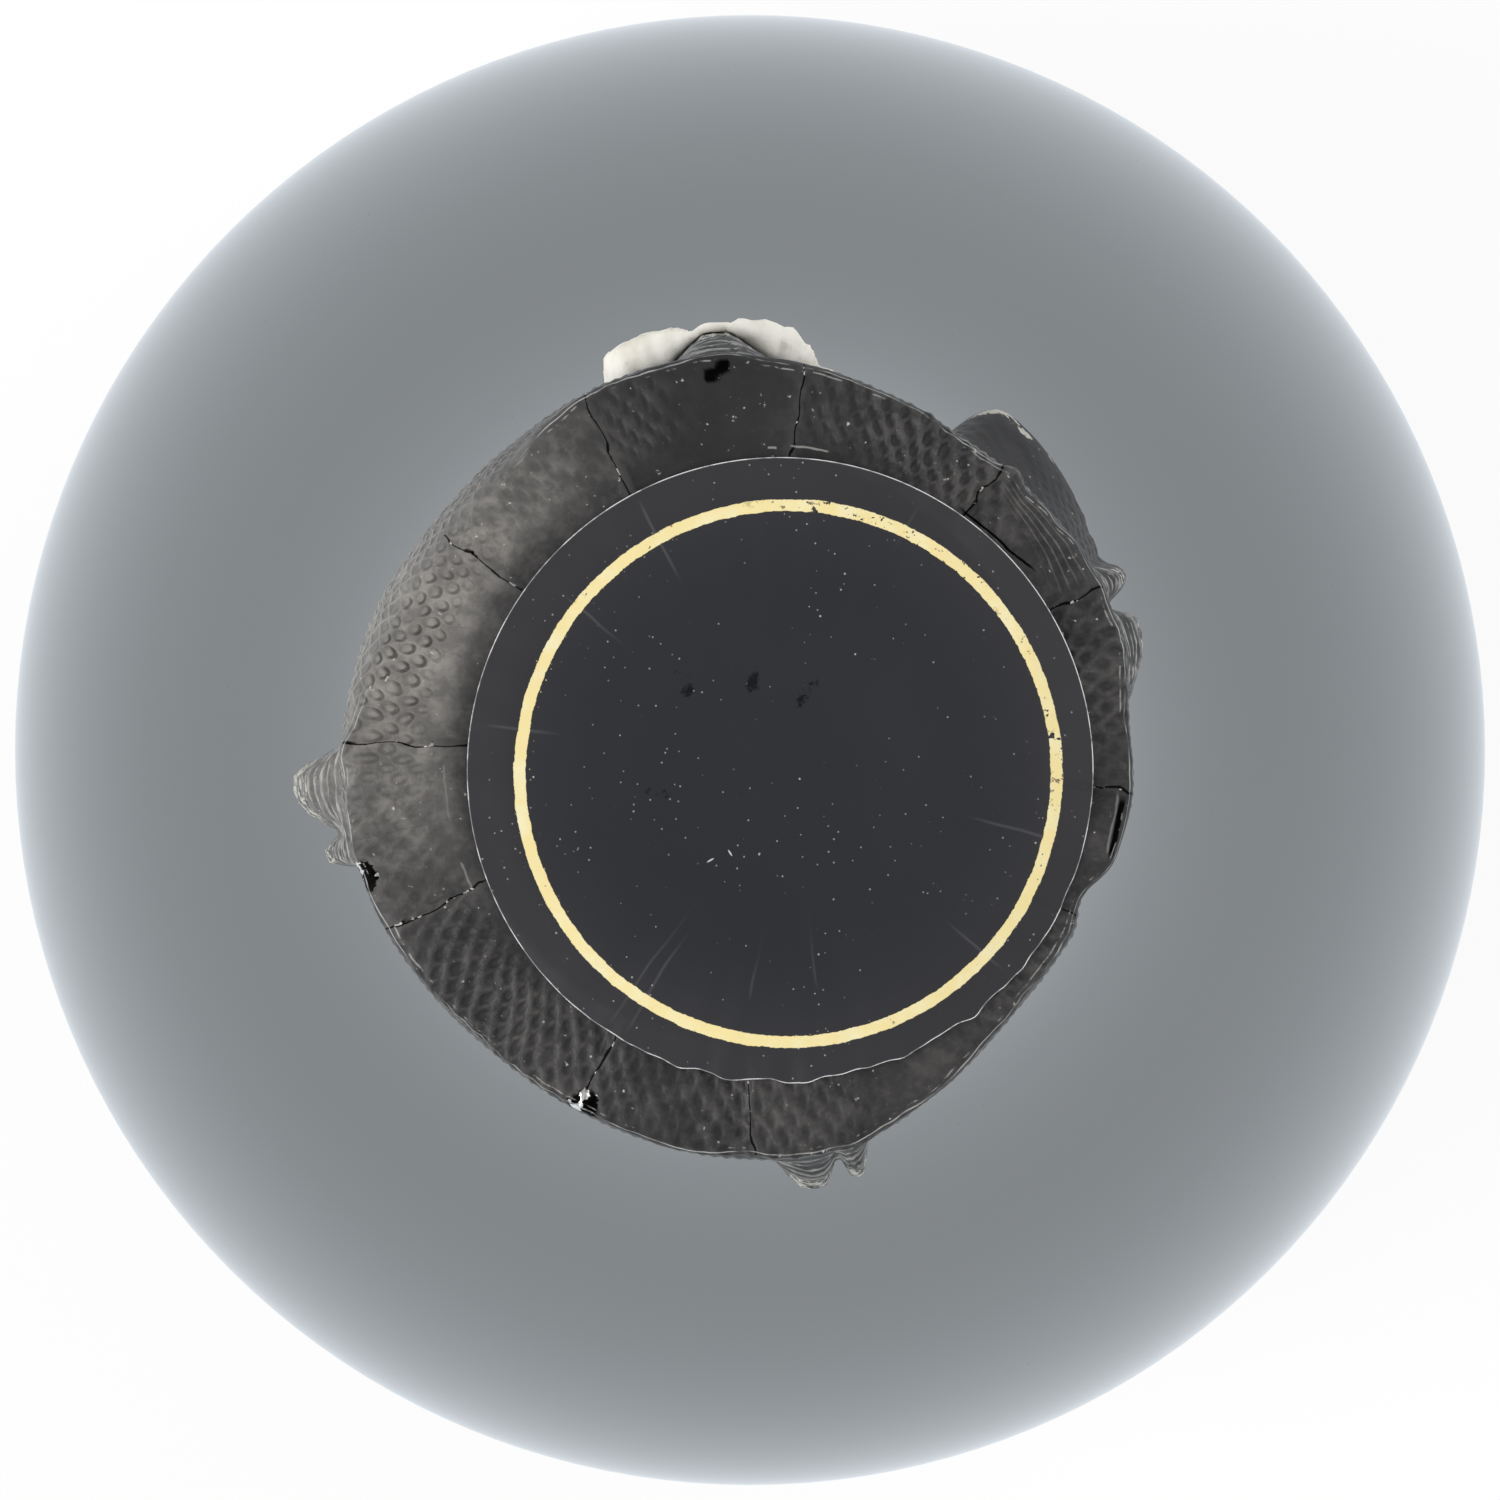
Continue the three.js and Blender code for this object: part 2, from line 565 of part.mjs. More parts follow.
// Inside radius of the foil hood's wall: leaning a little to one side, flat between the legs,
// ridged over them and full over the loop.
function hoodWall(angle, z) {
  const below = (top, depth) => THREE.MathUtils.smoothstep(top - z, 0, depth);
  const leg = nearLeg(angle);
  const lean = HOOD_LEAN * (1 + Math.cos(radians(angle - HOOD_LEAN_ANGLE)));
  const dip = HOOD_FLAT_DEPTH * (1 - ridge(leg, HOOD_FLAT_HALF_ANGLE));
  const over = RIDGE_HEIGHT * ridge(leg, RIDGE_HALF_ANGLE) * below(HOOD_WALL_Z, RIDGE_RISE);
  const plain = HOOD_RADIUS + lean - dip + over;
  const crest = LOOP_BULGE_HALF_ANGLE / 3;
  const side = Math.max(0, apart(angle, LOOP_ANGLE) - crest);
  const full = below(LOOP_TOP_Z + LOOP_BULGE_RISE, LOOP_BULGE_RISE);
  const bulge = ridge(side, LOOP_BULGE_HALF_ANGLE - crest) * full;
  return plain + Math.max(0, LOOP_BULGE_RADIUS - plain) * bulge;
}

// Each fold of the hood's top laps over the next one: highest at its edge and level at the far end.
function foldHeight(angle) {
  const turn = THREE.MathUtils.euclideanModulo(angle - FOLD_ANGLES[0], 360) + FOLD_ANGLES[0];
  const fold = FOLD_ANGLES.findLastIndex((f) => f <= turn);
  const next = fold + 1 < FOLD_ANGLES.length ? FOLD_ANGLES[fold + 1] : FOLD_ANGLES[0] + 360;
  const width = next - FOLD_ANGLES[fold] - FOLD_EDGE_ANGLE;
  return FOLD_STEP * Math.max(0, 1 - (turn - FOLD_ANGLES[fold]) / width);
}

function foilHood() {
  const angles = foilAngles();
  const shoulderSteps = 4;
  const wallSteps = 6;
  const rows = (thick) => {
    const top = angles.map((a) => around(a, HOOD_HOLE_RADIUS, HOOD_UNDER_Z + thick + foldHeight(a)));
    const shoulder = Array.from({ length: shoulderSteps + 1 }, (_, i) => {
      const turn = (Math.PI / 2) * (i / shoulderSteps);
      return angles.map((a) => {
        const reach = hoodWall(a, HOOD_WALL_Z) + thick - DISC_RADIUS;
        const rise = HOOD_SHOULDER_DROP + thick + foldHeight(a);
        return around(a, DISC_RADIUS + reach * Math.sin(turn), HOOD_WALL_Z + rise * Math.cos(turn));
      });
    });
    const wall = Array.from({ length: wallSteps }, (_, i) => {
      const z = THREE.MathUtils.lerp(HOOD_WALL_Z, TEAR_Z, (i + 1) / wallSteps);
      return angles.map((a) => around(a, hoodWall(a, z) + thick, z));
    });
    return [top, ...shoulder, ...wall];
  };
  return sheet(rows(FOIL), rows(0), true);
}

// Below the tear line the foil is gathered in onto the neck, with its ridges pressed down into pleats.
function foilSkirt() {
  const angles = foilAngles();
  const neck = OUTSIDE.filter((p) => p.y > SHOULDER_Z && p.y < BAND_BOTTOM_Z - FINISH_ROUNDING);
  const steps = 6;
  const rows = (thick) =>
    Array.from({ length: steps + 1 }, (_, i) => {
      const z = THREE.MathUtils.lerp(SKIRT_TOP_Z, SKIRT_BOTTOM_Z, i / steps);
      const gathered = THREE.MathUtils.smoothstep(SKIRT_TOP_Z - z, 0, SKIRT_TAPER);
      return angles.map((a) => {
        const pleat = SKIRT_PLEAT * ridge(nearLeg(a), RIDGE_HALF_ANGLE);
        const onNeck = radiusAt(neck, z) + CLEARANCE + pleat;
        return around(a, THREE.MathUtils.lerp(hoodWall(a, TEAR_Z), onNeck, gathered) + thick, z);
      });
    });
  return sheet(rows(FOIL), rows(0), true);
}

function foilDisc() {
  const bottom = HOOD_TOP_Z + GLUE_LINE;
  const top = bottom + FOIL;
  const outline = [flat(0, bottom), flat(DISC_RADIUS, bottom), flat(DISC_RADIUS, top), flat(0, top)];
  return turned(outline).translate(DISC_OFFSET_X, DISC_OFFSET_Y, 0);
}

function paperStrip() {
  const half = degrees(PAPER_WIDTH / 2 / (HOOD_RADIUS + RIDGE_HEIGHT));
  const columns = 8;
  const steps = 6;
  const rows = (thick) =>
    Array.from({ length: steps + 1 }, (_, i) => {
      const z = TEAR_Z + PAPER_LENGTH * (1 - i / steps);
      return Array.from({ length: columns + 1 }, (_, k) => {
        const angle = PAPER_ANGLE + half * THREE.MathUtils.lerp(-1, 1, k / columns);
        const off = CLEARANCE + PAPER_STAND_OFF * ridge(apart(angle, PAPER_ANGLE), half * PAPER_CREST);
        return around(angle, hoodWall(angle, z) + FOIL + off + thick, z);
      });
    });
  return sheet(rows(PAPER), rows(0), false);
}

// Materials

const finish = (color, roughness, metalness = 0) =>
  new THREE.MeshStandardMaterial({ color, roughness, metalness });
const darkGlass = finish(0x10160f, 0.08);
const paleWine = finish(0xd9c27a, 0.05);
const agglomerate = finish(0xb98d5f, 0.85);
const naturalCork = finish(0xc9a272, 0.8);
const tinnedSteel = finish(0xb9b6ae, 0.3, 1);
const galvanisedWire = finish(0xa9abae, 0.35, 1);
const embossedFoil = finish(0x3a3735, 0.45, 0.3);
const satinFoil = finish(0x2e3034, 0.4, 0.2);
const creamPaper = finish(0xe9e3cf, 0.9);

// Assembly

const bottle = new THREE.Group();

function add(name, geometry, material) {
  const mesh = new THREE.Mesh(geometry, material);
  mesh.name = name;
  bottle.add(mesh);
}

add("glass_bottle", glassBottle(), darkGlass);
add("wine", wineFill(), paleWine);
add("cork_wine_end_disc", corkDisc(0), naturalCork);
add("cork_inner_disc", corkDisc(1), naturalCork);
add("cork_body", corkBody(), agglomerate);
add("muzzle_cap", capPlate(), tinnedSteel);
add("muzzle_cage_wire", cageWire(), galvanisedWire);
add("muzzle_belt_wire", beltWire(), galvanisedWire);
add("muzzle_twist_loop", twistLoop(), galvanisedWire);
add("foil_hood", foilHood(), embossedFoil);
add("foil_top_disc", foilDisc(), satinFoil);
add("foil_skirt", foilSkirt(), embossedFoil);
add("paper_strip", paperStrip(), creamPaper);

export default bottle;
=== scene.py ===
"""Looks of a sealed sparkling wine bottle, laid out as an add-on and run as a script.

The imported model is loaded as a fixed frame, and every piece here stands in the place of one of its nodes.
Lengths are metres and angles are degrees round the bottle's axis, counted from +X.
"""

import math

import bmesh
import bpy
from bpy.props import FloatProperty, FloatVectorProperty, IntProperty, PointerProperty
from mathutils import Matrix, Vector, geometry, noise


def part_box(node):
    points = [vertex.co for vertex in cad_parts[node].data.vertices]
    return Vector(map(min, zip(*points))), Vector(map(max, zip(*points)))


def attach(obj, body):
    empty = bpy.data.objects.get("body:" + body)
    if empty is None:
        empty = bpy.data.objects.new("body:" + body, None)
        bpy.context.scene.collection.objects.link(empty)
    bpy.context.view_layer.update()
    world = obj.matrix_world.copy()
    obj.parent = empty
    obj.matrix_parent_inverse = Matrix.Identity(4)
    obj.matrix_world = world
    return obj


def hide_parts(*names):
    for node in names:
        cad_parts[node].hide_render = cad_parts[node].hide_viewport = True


bl_info = {
    "name": "Sparkling Wine Bottle",
    "version": (1, 0, 0),
    "blender": (4, 5, 0),
    "location": "View3D > Sidebar > Bottle",
    "description": "Builds the glass, cork, wire muzzle and foil capsule of a sealed bottle",
    "category": "Add Mesh",
}

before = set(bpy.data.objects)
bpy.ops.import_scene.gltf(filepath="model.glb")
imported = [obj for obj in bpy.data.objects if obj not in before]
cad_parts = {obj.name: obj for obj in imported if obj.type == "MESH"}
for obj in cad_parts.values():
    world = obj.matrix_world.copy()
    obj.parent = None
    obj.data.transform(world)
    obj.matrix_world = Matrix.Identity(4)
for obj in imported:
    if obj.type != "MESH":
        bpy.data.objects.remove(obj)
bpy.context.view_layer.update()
MM = 0.001

# Legs of the wire cage, and the wire loop that is folded up between two of them.
LEGS = (14, 97, 184, 279)
LOOP_ANGLE = 45
# Ridges of foil over the legs: angle, height, and the angles over which each falls off before and after it.
RIDGES = (
    (18.5, 1.45 * MM, 16.0, 3.6),
    (24.8, 1.52 * MM, 3.4, 5.0),
    (94.5, 1.57 * MM, 9.0, 9.0),
    (184.4, 2.57 * MM, 6.5, 10.0),
    (194.2, 1.72 * MM, 4.5, 3.4),
    (279.0, 2.12 * MM, 8.0, 4.6),
    (284.2, 2.07 * MM, 3.0, 3.8),
)
# The same four values for the place where the rim stands out over the ridge at the back.
RIM_SWELL = (94.5, 0.12 * MM, 5.5, 8.0)
# Flats where the hood was pressed in, and where it stands out a little: angle, depth and half angle.
FLATS = (
    (8.0, 0.30 * MM, 26.0),
    (158.0, -0.15 * MM, 40.0),
    (318.0, 0.80 * MM, 38.0),
    (336.5, 0.55 * MM, 7.0),
    (4.0, 0.28 * MM, 12.0),
)
# The hood leans to one side, and falls in between the legs.
LEAN, LEAN_ANGLE = 0.5 * MM, 225
HOLLOW, HOLLOW_HALF = 0.7 * MM, 45
# How far down the wall the ridges start and are full, and the same for the bulge over the loop.
RIDGE_START, RIDGE_FULL = -2 * MM, 15 * MM
BULGE_START, BULGE_FULL = 10.4 * MM, 21.4 * MM
# The bulge's middle and radius, its crest and steep side after the middle, and the long side before it.
BULGE_ANGLE, BULGE_RADIUS = 50.5, 20.38 * MM
BULGE_CREST, BULGE_STEEP, BULGE_EASE = 2.0, 5.6, 30.0
# Angles at which the gathered top of the hood is lapped over itself.
FOLDS = (25, 48, 82, 115, 145, 179, 206.5, 244.5, 270, 333, 354)
# The folded top starts at a hole under the disc, and slopes down to the rim from the second radius.
HOLE_RADIUS, SLOPE_RADIUS = 9 * MM, 13.6 * MM
# Sides of the hood, by angle and half angle: rolled softly into the wall, given painted reflected light and
# highlight lines, dimpled, smooth and crushed.
ROUND_SIDE = (152, 42)
SHEEN_SIDE = (160, 55)
RINGED_SIDE = (163, 32)
SLEEK_SIDE = (96, 34)
CRUSHED_SIDE = (38, 15)
# Spacing of the rows of points near the rim, down the wall and down the skirt, in millimetres.
ROW_MM, WALL_ROW_MM, SKIRT_ROW_MM = 0.36, 0.402, 0.4
# Radii in millimetres that turn an angle into a length, for dents and for spots.
DENT_REACH_MM, SPOT_REACH_MM = 17.5, 18
# A distance in millimetres that is too far for any mark.
FAR = 9.0
# Dents pressed into the hood: angle, row, radius in millimetres and depth in millimetres.
DENTS = (
    (94.9, 14, 0.60, -0.18),
    (46.3, 15, 0.65, 0.60),
    (41.0, 12, 1.20, -0.25),
    (33.0, 14, 1.00, 0.25),
    (180.0, 16, 0.80, 0.35),
    (186.0, 20, 1.10, -0.25),
    (205.0, 14, 1.00, 0.20),
    (285.0, 16, 1.00, 0.22),
    (341.0, 12, 1.10, 0.20),
    (62.0, 15, 0.90, 0.20),
    (128.0, 17, 1.20, -0.20),
    (225.0, 14, 1.50, -0.15),
    (258.0, 15, 1.30, 0.15),
    (270.0, 15, 0.90, -0.30),
)
# Spots where the foil is torn: angle, row and radius in millimetres.
TEARS = (
    (198.0, 17, 0.75),
    (245.0, 15.4, 0.78),
)
# Spots on the bulge where the foil is rubbed, and the hole beside the ridge at the back, painted as
# near-black shade, in the same values.
RUBS = (
    (56.6, 79, 0.40),
    (55.2, 79.5, 0.62),
    (53.8, 80.5, 0.55),
    (52.4, 82, 0.34),
    (50.8, 81, 0.26),
    (48.9, 79, 0.46),
    (44.1, 82, 0.22),
)
HOLES = (
    (96.1, 13.4, 0.34),
    (94.9, 14.0, 0.40),
    (93.9, 14.6, 0.34),
)
# Scuffs and bright nicks on the disc: place from its middle, direction, half length and half width.
SCUFFS = (
    (-4.3 * MM, 3.8 * MM, 125.0, 1.8 * MM, 0.8 * MM),
    (-1.2 * MM, 4.2 * MM, 80.0, 1.3 * MM, 0.6 * MM),
    (1.2 * MM, 3.5 * MM, 60.0, 1.5 * MM, 0.6 * MM),
    (-5.7 * MM, -1.0 * MM, 175.0, 1.4 * MM, 0.5 * MM),
)
NICKS = (
    (-3.23 * MM, -4.15 * MM, 30.0, 0.22 * MM, 0.045 * MM),
    (-2.32 * MM, -3.81 * MM, 122.0, 0.20 * MM, 0.045 * MM),
)
# Slit where a fold stands open and crease beside the disc, both painted as dark shade: place, direction, half
# length and half width.
SLITS = (
    (17.00 * MM, -3.61 * MM, 78.0, 1.60 * MM, 0.17 * MM),
    (11.48 * MM, 9.73 * MM, 139.5, 2.50 * MM, 0.08 * MM),
)
# Cut edges that show as thin bright lines on the hood's top: angle, radius, half length and brightness.
TABS = (
    (78.8, 14.25 * MM, 0.95 * MM, 1.0),
    (85.8, 14.10 * MM, 0.22 * MM, 0.8),
    (188.0, 14.15 * MM, 1.40 * MM, 0.30),
    (203.8, 14.40 * MM, 0.70 * MM, 0.40),
    (348.5, 17.16 * MM, 1.50 * MM, 0.45),
)
# Parts of the hood's top where the pressed net shows: angle, strength and half angle.
NETS = (
    (12.0, 0.55, 24.0),
    (60.0, 0.90, 30.0),
    (109.0, 0.42, 12.0),
    (135.0, 0.35, 30.0),
    (190.0, 0.45, 22.0),
    (228.0, 0.65, 44.0),
    (272.0, 0.55, 26.0),
    (320.0, 0.40, 30.0),
)
# Long pleats beside the rim: the angles between which they run.
PLEAT_START, PLEAT_END = 26.0, 47.0
# Outline of the paper strip's rolled end seen from above: angle and radius.
ROLL_OUTLINE = (
    (77.6, 18.30 * MM),
    (80.0, 18.85 * MM),
    (82.4, 19.40 * MM),
    (84.8, 19.88 * MM),
    (88.4, 20.22 * MM),
    (92.0, 20.60 * MM),
    (97.6, 20.30 * MM),
    (102.0, 20.15 * MM),
    (106.0, 20.25 * MM),
    (109.5, 19.95 * MM),
    (112.0, 18.80 * MM),
)
# Pulled wrinkles of the disc, drawn as painted highlight lines: angle, and where each starts and ends.
WRINKLES = (
    (235.6, 6.5 * MM, 14.3 * MM),
    (239.2, 8.0 * MM, 14.3 * MM),
    (118.0, 9.5 * MM, 14.3 * MM),
    (171.0, 10.0 * MM, 14.0 * MM),
    (279.0, 4.5 * MM, 10.5 * MM),
    (262.0, 6.0 * MM, 11.0 * MM),
    (346.0, 8.5 * MM, 13.5 * MM),
    (318.0, 10.0 * MM, 14.0 * MM),
    (62.0, 11.0 * MM, 14.0 * MM),
    (141.0, 9.0 * MM, 13.0 * MM),
)
# Part of the disc's edge that is frilled: angle and half angle.
FRILLED_SIDE = (285, 80)


# Settings

def length(label, description, default):
    return FloatProperty(
        name=label, description=description, default=default, min=0.0, unit="LENGTH", precision=5
    )


def offset(label, description, default):
    return FloatProperty(name=label, description=description, default=default, unit="LENGTH", precision=5)


def amount(label, description, default, unit="NONE"):
    return FloatProperty(name=label, description=description, default=default, unit=unit)


def share(label, description, default):
    return FloatProperty(
        name=label, description=description, default=default, min=0.0, max=1.0, subtype="FACTOR"
    )


def colour(label, description, default):
    return FloatVectorProperty(
        name=label, description=description, default=default, size=3, min=0.0, max=1.0, subtype="COLOR"
    )


class GlassSettings(bpy.types.PropertyGroup):
    height: length("Height", "Height of the glass to its lip", 0.300)
    body_radius: length("Body radius", "Outside radius of the body", 0.044)
    body_wall: length("Body wall", "Wall of the body", 0.0049)
    shoulder_start: length("Shoulder start", "Height at which the body starts to narrow", 0.118)
    shoulder_ease: length("Shoulder ease", "Length over which the shoulder leaves the body", 0.047)
    neck_start: length("Neck start", "Height at which the neck starts", 0.252)
    neck_radius: length("Neck radius", "Outside radius at the foot of the neck", 0.0152)
    bore_radius: length("Bore radius", "Inside radius of the mouth", 0.009)
    punt_height: length("Punt height", "Height of the hollow under the base", 0.030)
    fill_height: length("Fill height", "Height of the wine", 0.220)
    tint: colour("Tint", "Colour of the dark glass", (0.0045, 0.0062, 0.0056))
    haze: share("Haze", "Roughness of the polished glass", 0.045)
    wine: colour("Wine", "Colour of the wine", (0.72, 0.58, 0.25))


class CorkSettings(bpy.types.PropertyGroup):
    head_radius: length("Head radius", "Radius of the cork's mushroom head", 0.0152)
    stem_radius: length("Stem radius", "Radius of the cork in the bore", 0.0087)
    granule: length("Granule", "Size of the pressed granules", 0.0022)
    pale: colour("Pale", "Pale granules", (0.60, 0.40, 0.22))
    dark: colour("Dark", "Dark granules and pores", (0.17, 0.085, 0.04))


class MuzzleSettings(bpy.types.PropertyGroup):
    cage_wire: length("Cage wire", "Diameter of the cage's wire", 0.00095)
    belt_wire: length("Belt wire", "Diameter of the belt and loop", 0.00125)
    twist_pitch: length("Twist pitch", "Length of one turn of a twisted pair", 0.0056)
    steel: colour("Steel", "Colour of the galvanised wire", (0.50, 0.51, 0.52))
    tin: colour("Tin", "Colour of the stamped cap", (0.56, 0.54, 0.50))


class FoilSettings(bpy.types.PropertyGroup):
    wall_radius: length("Wall radius", "Outside radius of the hood where it stands closest", 0.01818)
    wall_top: length("Wall top", "Height at which the hood's wall starts", 0.31585)
    top: length("Top", "Height of the hood's folded top", 0.32215)
    tear: length("Tear line", "Height at which hood and skirt part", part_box("foil_hood")[0].z)
    skirt_top: length("Skirt top", "Height of the skirt's torn edge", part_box("foil_skirt")[1].z)
    skirt_bottom: length("Skirt bottom", "Height of the skirt's lower edge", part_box("foil_skirt")[0].z)
    lining: length("Lining gap", "Depth of the silver lining behind the black face", 0.00025)
    fold_step: length("Fold step", "How far one fold laps over the next", 0.00035)
    relief: length("Relief", "Half depth of the embossed pattern", 0.00008)
    crumple: length("Crumple", "Depth of the hand-pressed dents", 0.00020)
    dimples: IntProperty(
        name="Dimples", description="Embossed dimples in one row round the hood", default=108, min=40
    )
    black: colour("Black", "Colour of the lacquered foil", (0.0165, 0.0158, 0.0172))
    # Also the colour that the painted highlights on the embossed net are drawn in.
    rubbed: colour("Rubbed", "Colour where the lacquer is rubbed", (0.086, 0.081, 0.078))
    silver: colour("Silver", "Colour of the bare metal", (0.78, 0.77, 0.75))


class DiscSettings(bpy.types.PropertyGroup):
    radius: length("Radius", "Radius of the satin disc", 0.0145)
    offset_x: offset("Offset X", "Place of the disc's middle", 0.0014)
    offset_y: offset("Offset Y", "Place of the disc's middle", -0.00095)
    level: length("Level", "Height of the disc's flat middle", 0.3229)
    ring_radius: length("Ring radius", "Middle radius of the printed ring", 0.01242)
    ring_width: length("Ring width", "Width of the printed ring", 0.00055)
    ring_offset_x: offset("Ring X", "Ring's offset on the disc", 0.00037)
    ring_offset_y: offset("Ring Y", "Ring's offset on the disc", -0.00014)
    satin: colour("Satin", "Colour of the satin lacquer", (0.0120, 0.0148, 0.0200))
    gold: colour("Gold", "Colour of the printed ring", (0.93, 0.78, 0.37))


class PaperSettings(bpy.types.PropertyGroup):
    angle: amount("Angle", "Middle of the strip round the neck, in degrees", 95.1)
    half_angle: amount("Half angle", "Half the angle it spans, in degrees", 16.9)
    top: length("Top", "Height of the strip's rolled end", 0.3030)
    cream: colour("Cream", "Colour of the paper", (0.97, 0.95, 0.87))


class StageSettings(bpy.types.PropertyGroup):
    camera_height: length("Camera height", "Height of the camera above the floor", 1.007)
    focal_length: amount("Focal length", "Lens in millimetres on a 36 mm frame", 355.0)
    key_power: amount("Key lamp", "Power of the main soft lamp", 6.0, "POWER")
    fill_power: amount("Fill lamp", "Power of the weaker soft lamp", 3.0, "POWER")
    surround: share("Surround", "Brightness of the room for diffuse light", 0.56)


class BottleSettings(bpy.types.PropertyGroup):
    glass: PointerProperty(type=GlassSettings)
    cork: PointerProperty(type=CorkSettings)
    muzzle: PointerProperty(type=MuzzleSettings)
    foil: PointerProperty(type=FoilSettings)
    disc: PointerProperty(type=DiscSettings)
    paper: PointerProperty(type=PaperSettings)
    stage: PointerProperty(type=StageSettings)


# Shapes

def between(a, b, t):
    return a + (b - a) * t


def soft(low, high, x):
    """Smooth rise from 0 at low to 1 at high."""
    t = min(1.0, max(0.0, (x - low) / (high - low)))
    return t * t * (3 - 2 * t)


def apart(a, b):
    """How far one angle lies from another, the short way round and with its sign."""
    return (a - b + 180) % 360 - 180


def ridge(away, half):
    """A rounded rise from 0 to 1 about the middle of a span."""
    away = abs(away)
    return (1 + math.cos(math.pi * away / half)) / 2 if away < half else 0.0


def facing(angle, middle, half):
    """The same rise over a span of angles."""
    return ridge(apart(angle, middle), half)


def from_leg(angle):
    """How far an angle lies from the nearest leg of the cage."""
    return min(abs(apart(angle, leg)) for leg in LEGS)


def turned(x, y, angle):
    """How far a place lies along a direction, and how far to the left of it."""
    c, s = math.cos(math.radians(angle)), math.sin(math.radians(angle))
    return x * c + y * s, y * c - x * s


def around(angle, radius, z, sideways=0.0):
    """A point at an angle round the bottle's axis, moved along the circle by a distance."""
    return Vector((*turned(radius, sideways, -angle), z))


def sweep(start, leave, arrive, end, steps):
    return [Vector(p) for p in geometry.interpolate_bezier(start, leave, arrive, end, steps + 1)]


def bend(start, corner, end, steps):
    start, corner, end = Vector(start), Vector(corner), Vector(end)
    return sweep(start, start.lerp(corner, 2 / 3), end.lerp(corner, 2 / 3), end, steps)


def straight(start, end, steps):
    return [Vector(start).lerp(Vector(end), i / steps) for i in range(steps + 1)]


def read_off(points, at):
    """Value at a place on a line through points, smooth between them."""
    for (a, low), (b, high) in zip(points, points[1:]):
        if at <= b:
            return between(low, high, soft(a, b, at))
    return points[-1][1]


def joined(*stretches):
    """One outline from several stretches, without the points that two of them share."""
    outline = []
    for point in (Vector(p) for stretch in stretches for p in stretch):
        if not outline or (point - outline[-1]).length > 1e-7:
            outline.append(point)
    return outline


def inset(outline, distance):
    """The outline moved square to itself, with a point on the axis kept there."""
    moved = []
    for i, point in enumerate(outline):
        ahead = (outline[min(i + 1, len(outline) - 1)] - outline[max(i - 1, 0)]).normalized()
        radius = point.x - ahead.y * distance if point.x > 0 else 0.0
        moved.append(Vector((radius, point.y + ahead.x * distance)))
    return moved


def even(path, steps):
    """The same line with its points evenly spaced."""
    lengths = [0.0]
    for a, b in zip(path, path[1:]):
        lengths.append(lengths[-1] + (b - a).length)
    points = []
    i = 0
    for k in range(steps + 1):
        goal = lengths[-1] * k / steps
        while i < len(path) - 2 and lengths[i + 1] < goal:
            i += 1
        points.append(path[i].lerp(path[i + 1], (goal - lengths[i]) / (lengths[i + 1] - lengths[i])))
    return points


def cleaned(bm):
    """Merges doubled points and turns the faces outwards."""
    bmesh.ops.remove_doubles(bm, verts=bm.verts[:], dist=1e-7)
    bmesh.ops.recalc_face_normals(bm, faces=bm.faces[:])
    return bm


def spun(outline, segments):
    """An outline of radius and height turned once round the bottle's axis."""
    bm = bmesh.new()
    verts = [bm.verts.new((p[0], 0.0, p[1])) for p in outline]
    for a, b in zip(verts, verts[1:]):
        bm.edges.new((a, b))
    geom = bm.verts[:] + bm.edges[:]
    bmesh.ops.spin(
        bm, geom=geom, cent=(0, 0, 0), axis=(0, 0, 1), angle=2 * math.pi, steps=segments, use_merge=True
    )
    return cleaned(bm)


def piece(bm, name, materials, sharp=None):
    """Turns a bmesh into a smooth-shaded object in the scene."""
    mesh = bpy.data.meshes.new(name)
    bm.to_mesh(mesh)
    bm.free()
    for material in materials:
        mesh.materials.append(material)
    mesh.shade_smooth()
    if sharp is not None:
        mesh.set_sharp_from_angle(angle=math.radians(sharp))
    obj = bpy.data.objects.new(name, mesh)
    bpy.context.scene.collection.objects.link(obj)
    return obj


def stands_for(obj, node, body):
    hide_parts(node)
    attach(obj, body)


def wire(name, points, diameter, material, sides=2):
    """A round wire along a smooth line, as a mesh with closed ends."""
    curve = bpy.data.curves.new(name, "CURVE")
    curve.dimensions = "3D"
    curve.resolution_u = 4
    curve.bevel_depth = diameter / 2
    curve.bevel_resolution = sides
    curve.use_fill_caps = True
    spline = curve.splines.new("BEZIER")
    spline.bezier_points.add(len(points) - 1)
    for knot, point in zip(spline.bezier_points, points):
        knot.co = point
        knot.handle_left_type = "AUTO"
        knot.handle_right_type = "AUTO"
    tube = bpy.data.objects.new(name, curve)
    bpy.context.scene.collection.objects.link(tube)
    bpy.context.view_layer.update()
    mesh = bpy.data.meshes.new_from_object(tube.evaluated_get(bpy.context.evaluated_depsgraph_get()))
    bpy.data.objects.remove(tube)
    bpy.data.curves.remove(curve)
    bm = bmesh.new()
    bm.from_mesh(mesh)
    bpy.data.meshes.remove(mesh)
    return piece(cleaned(bm), name, [material], sharp=50)


# Finishes

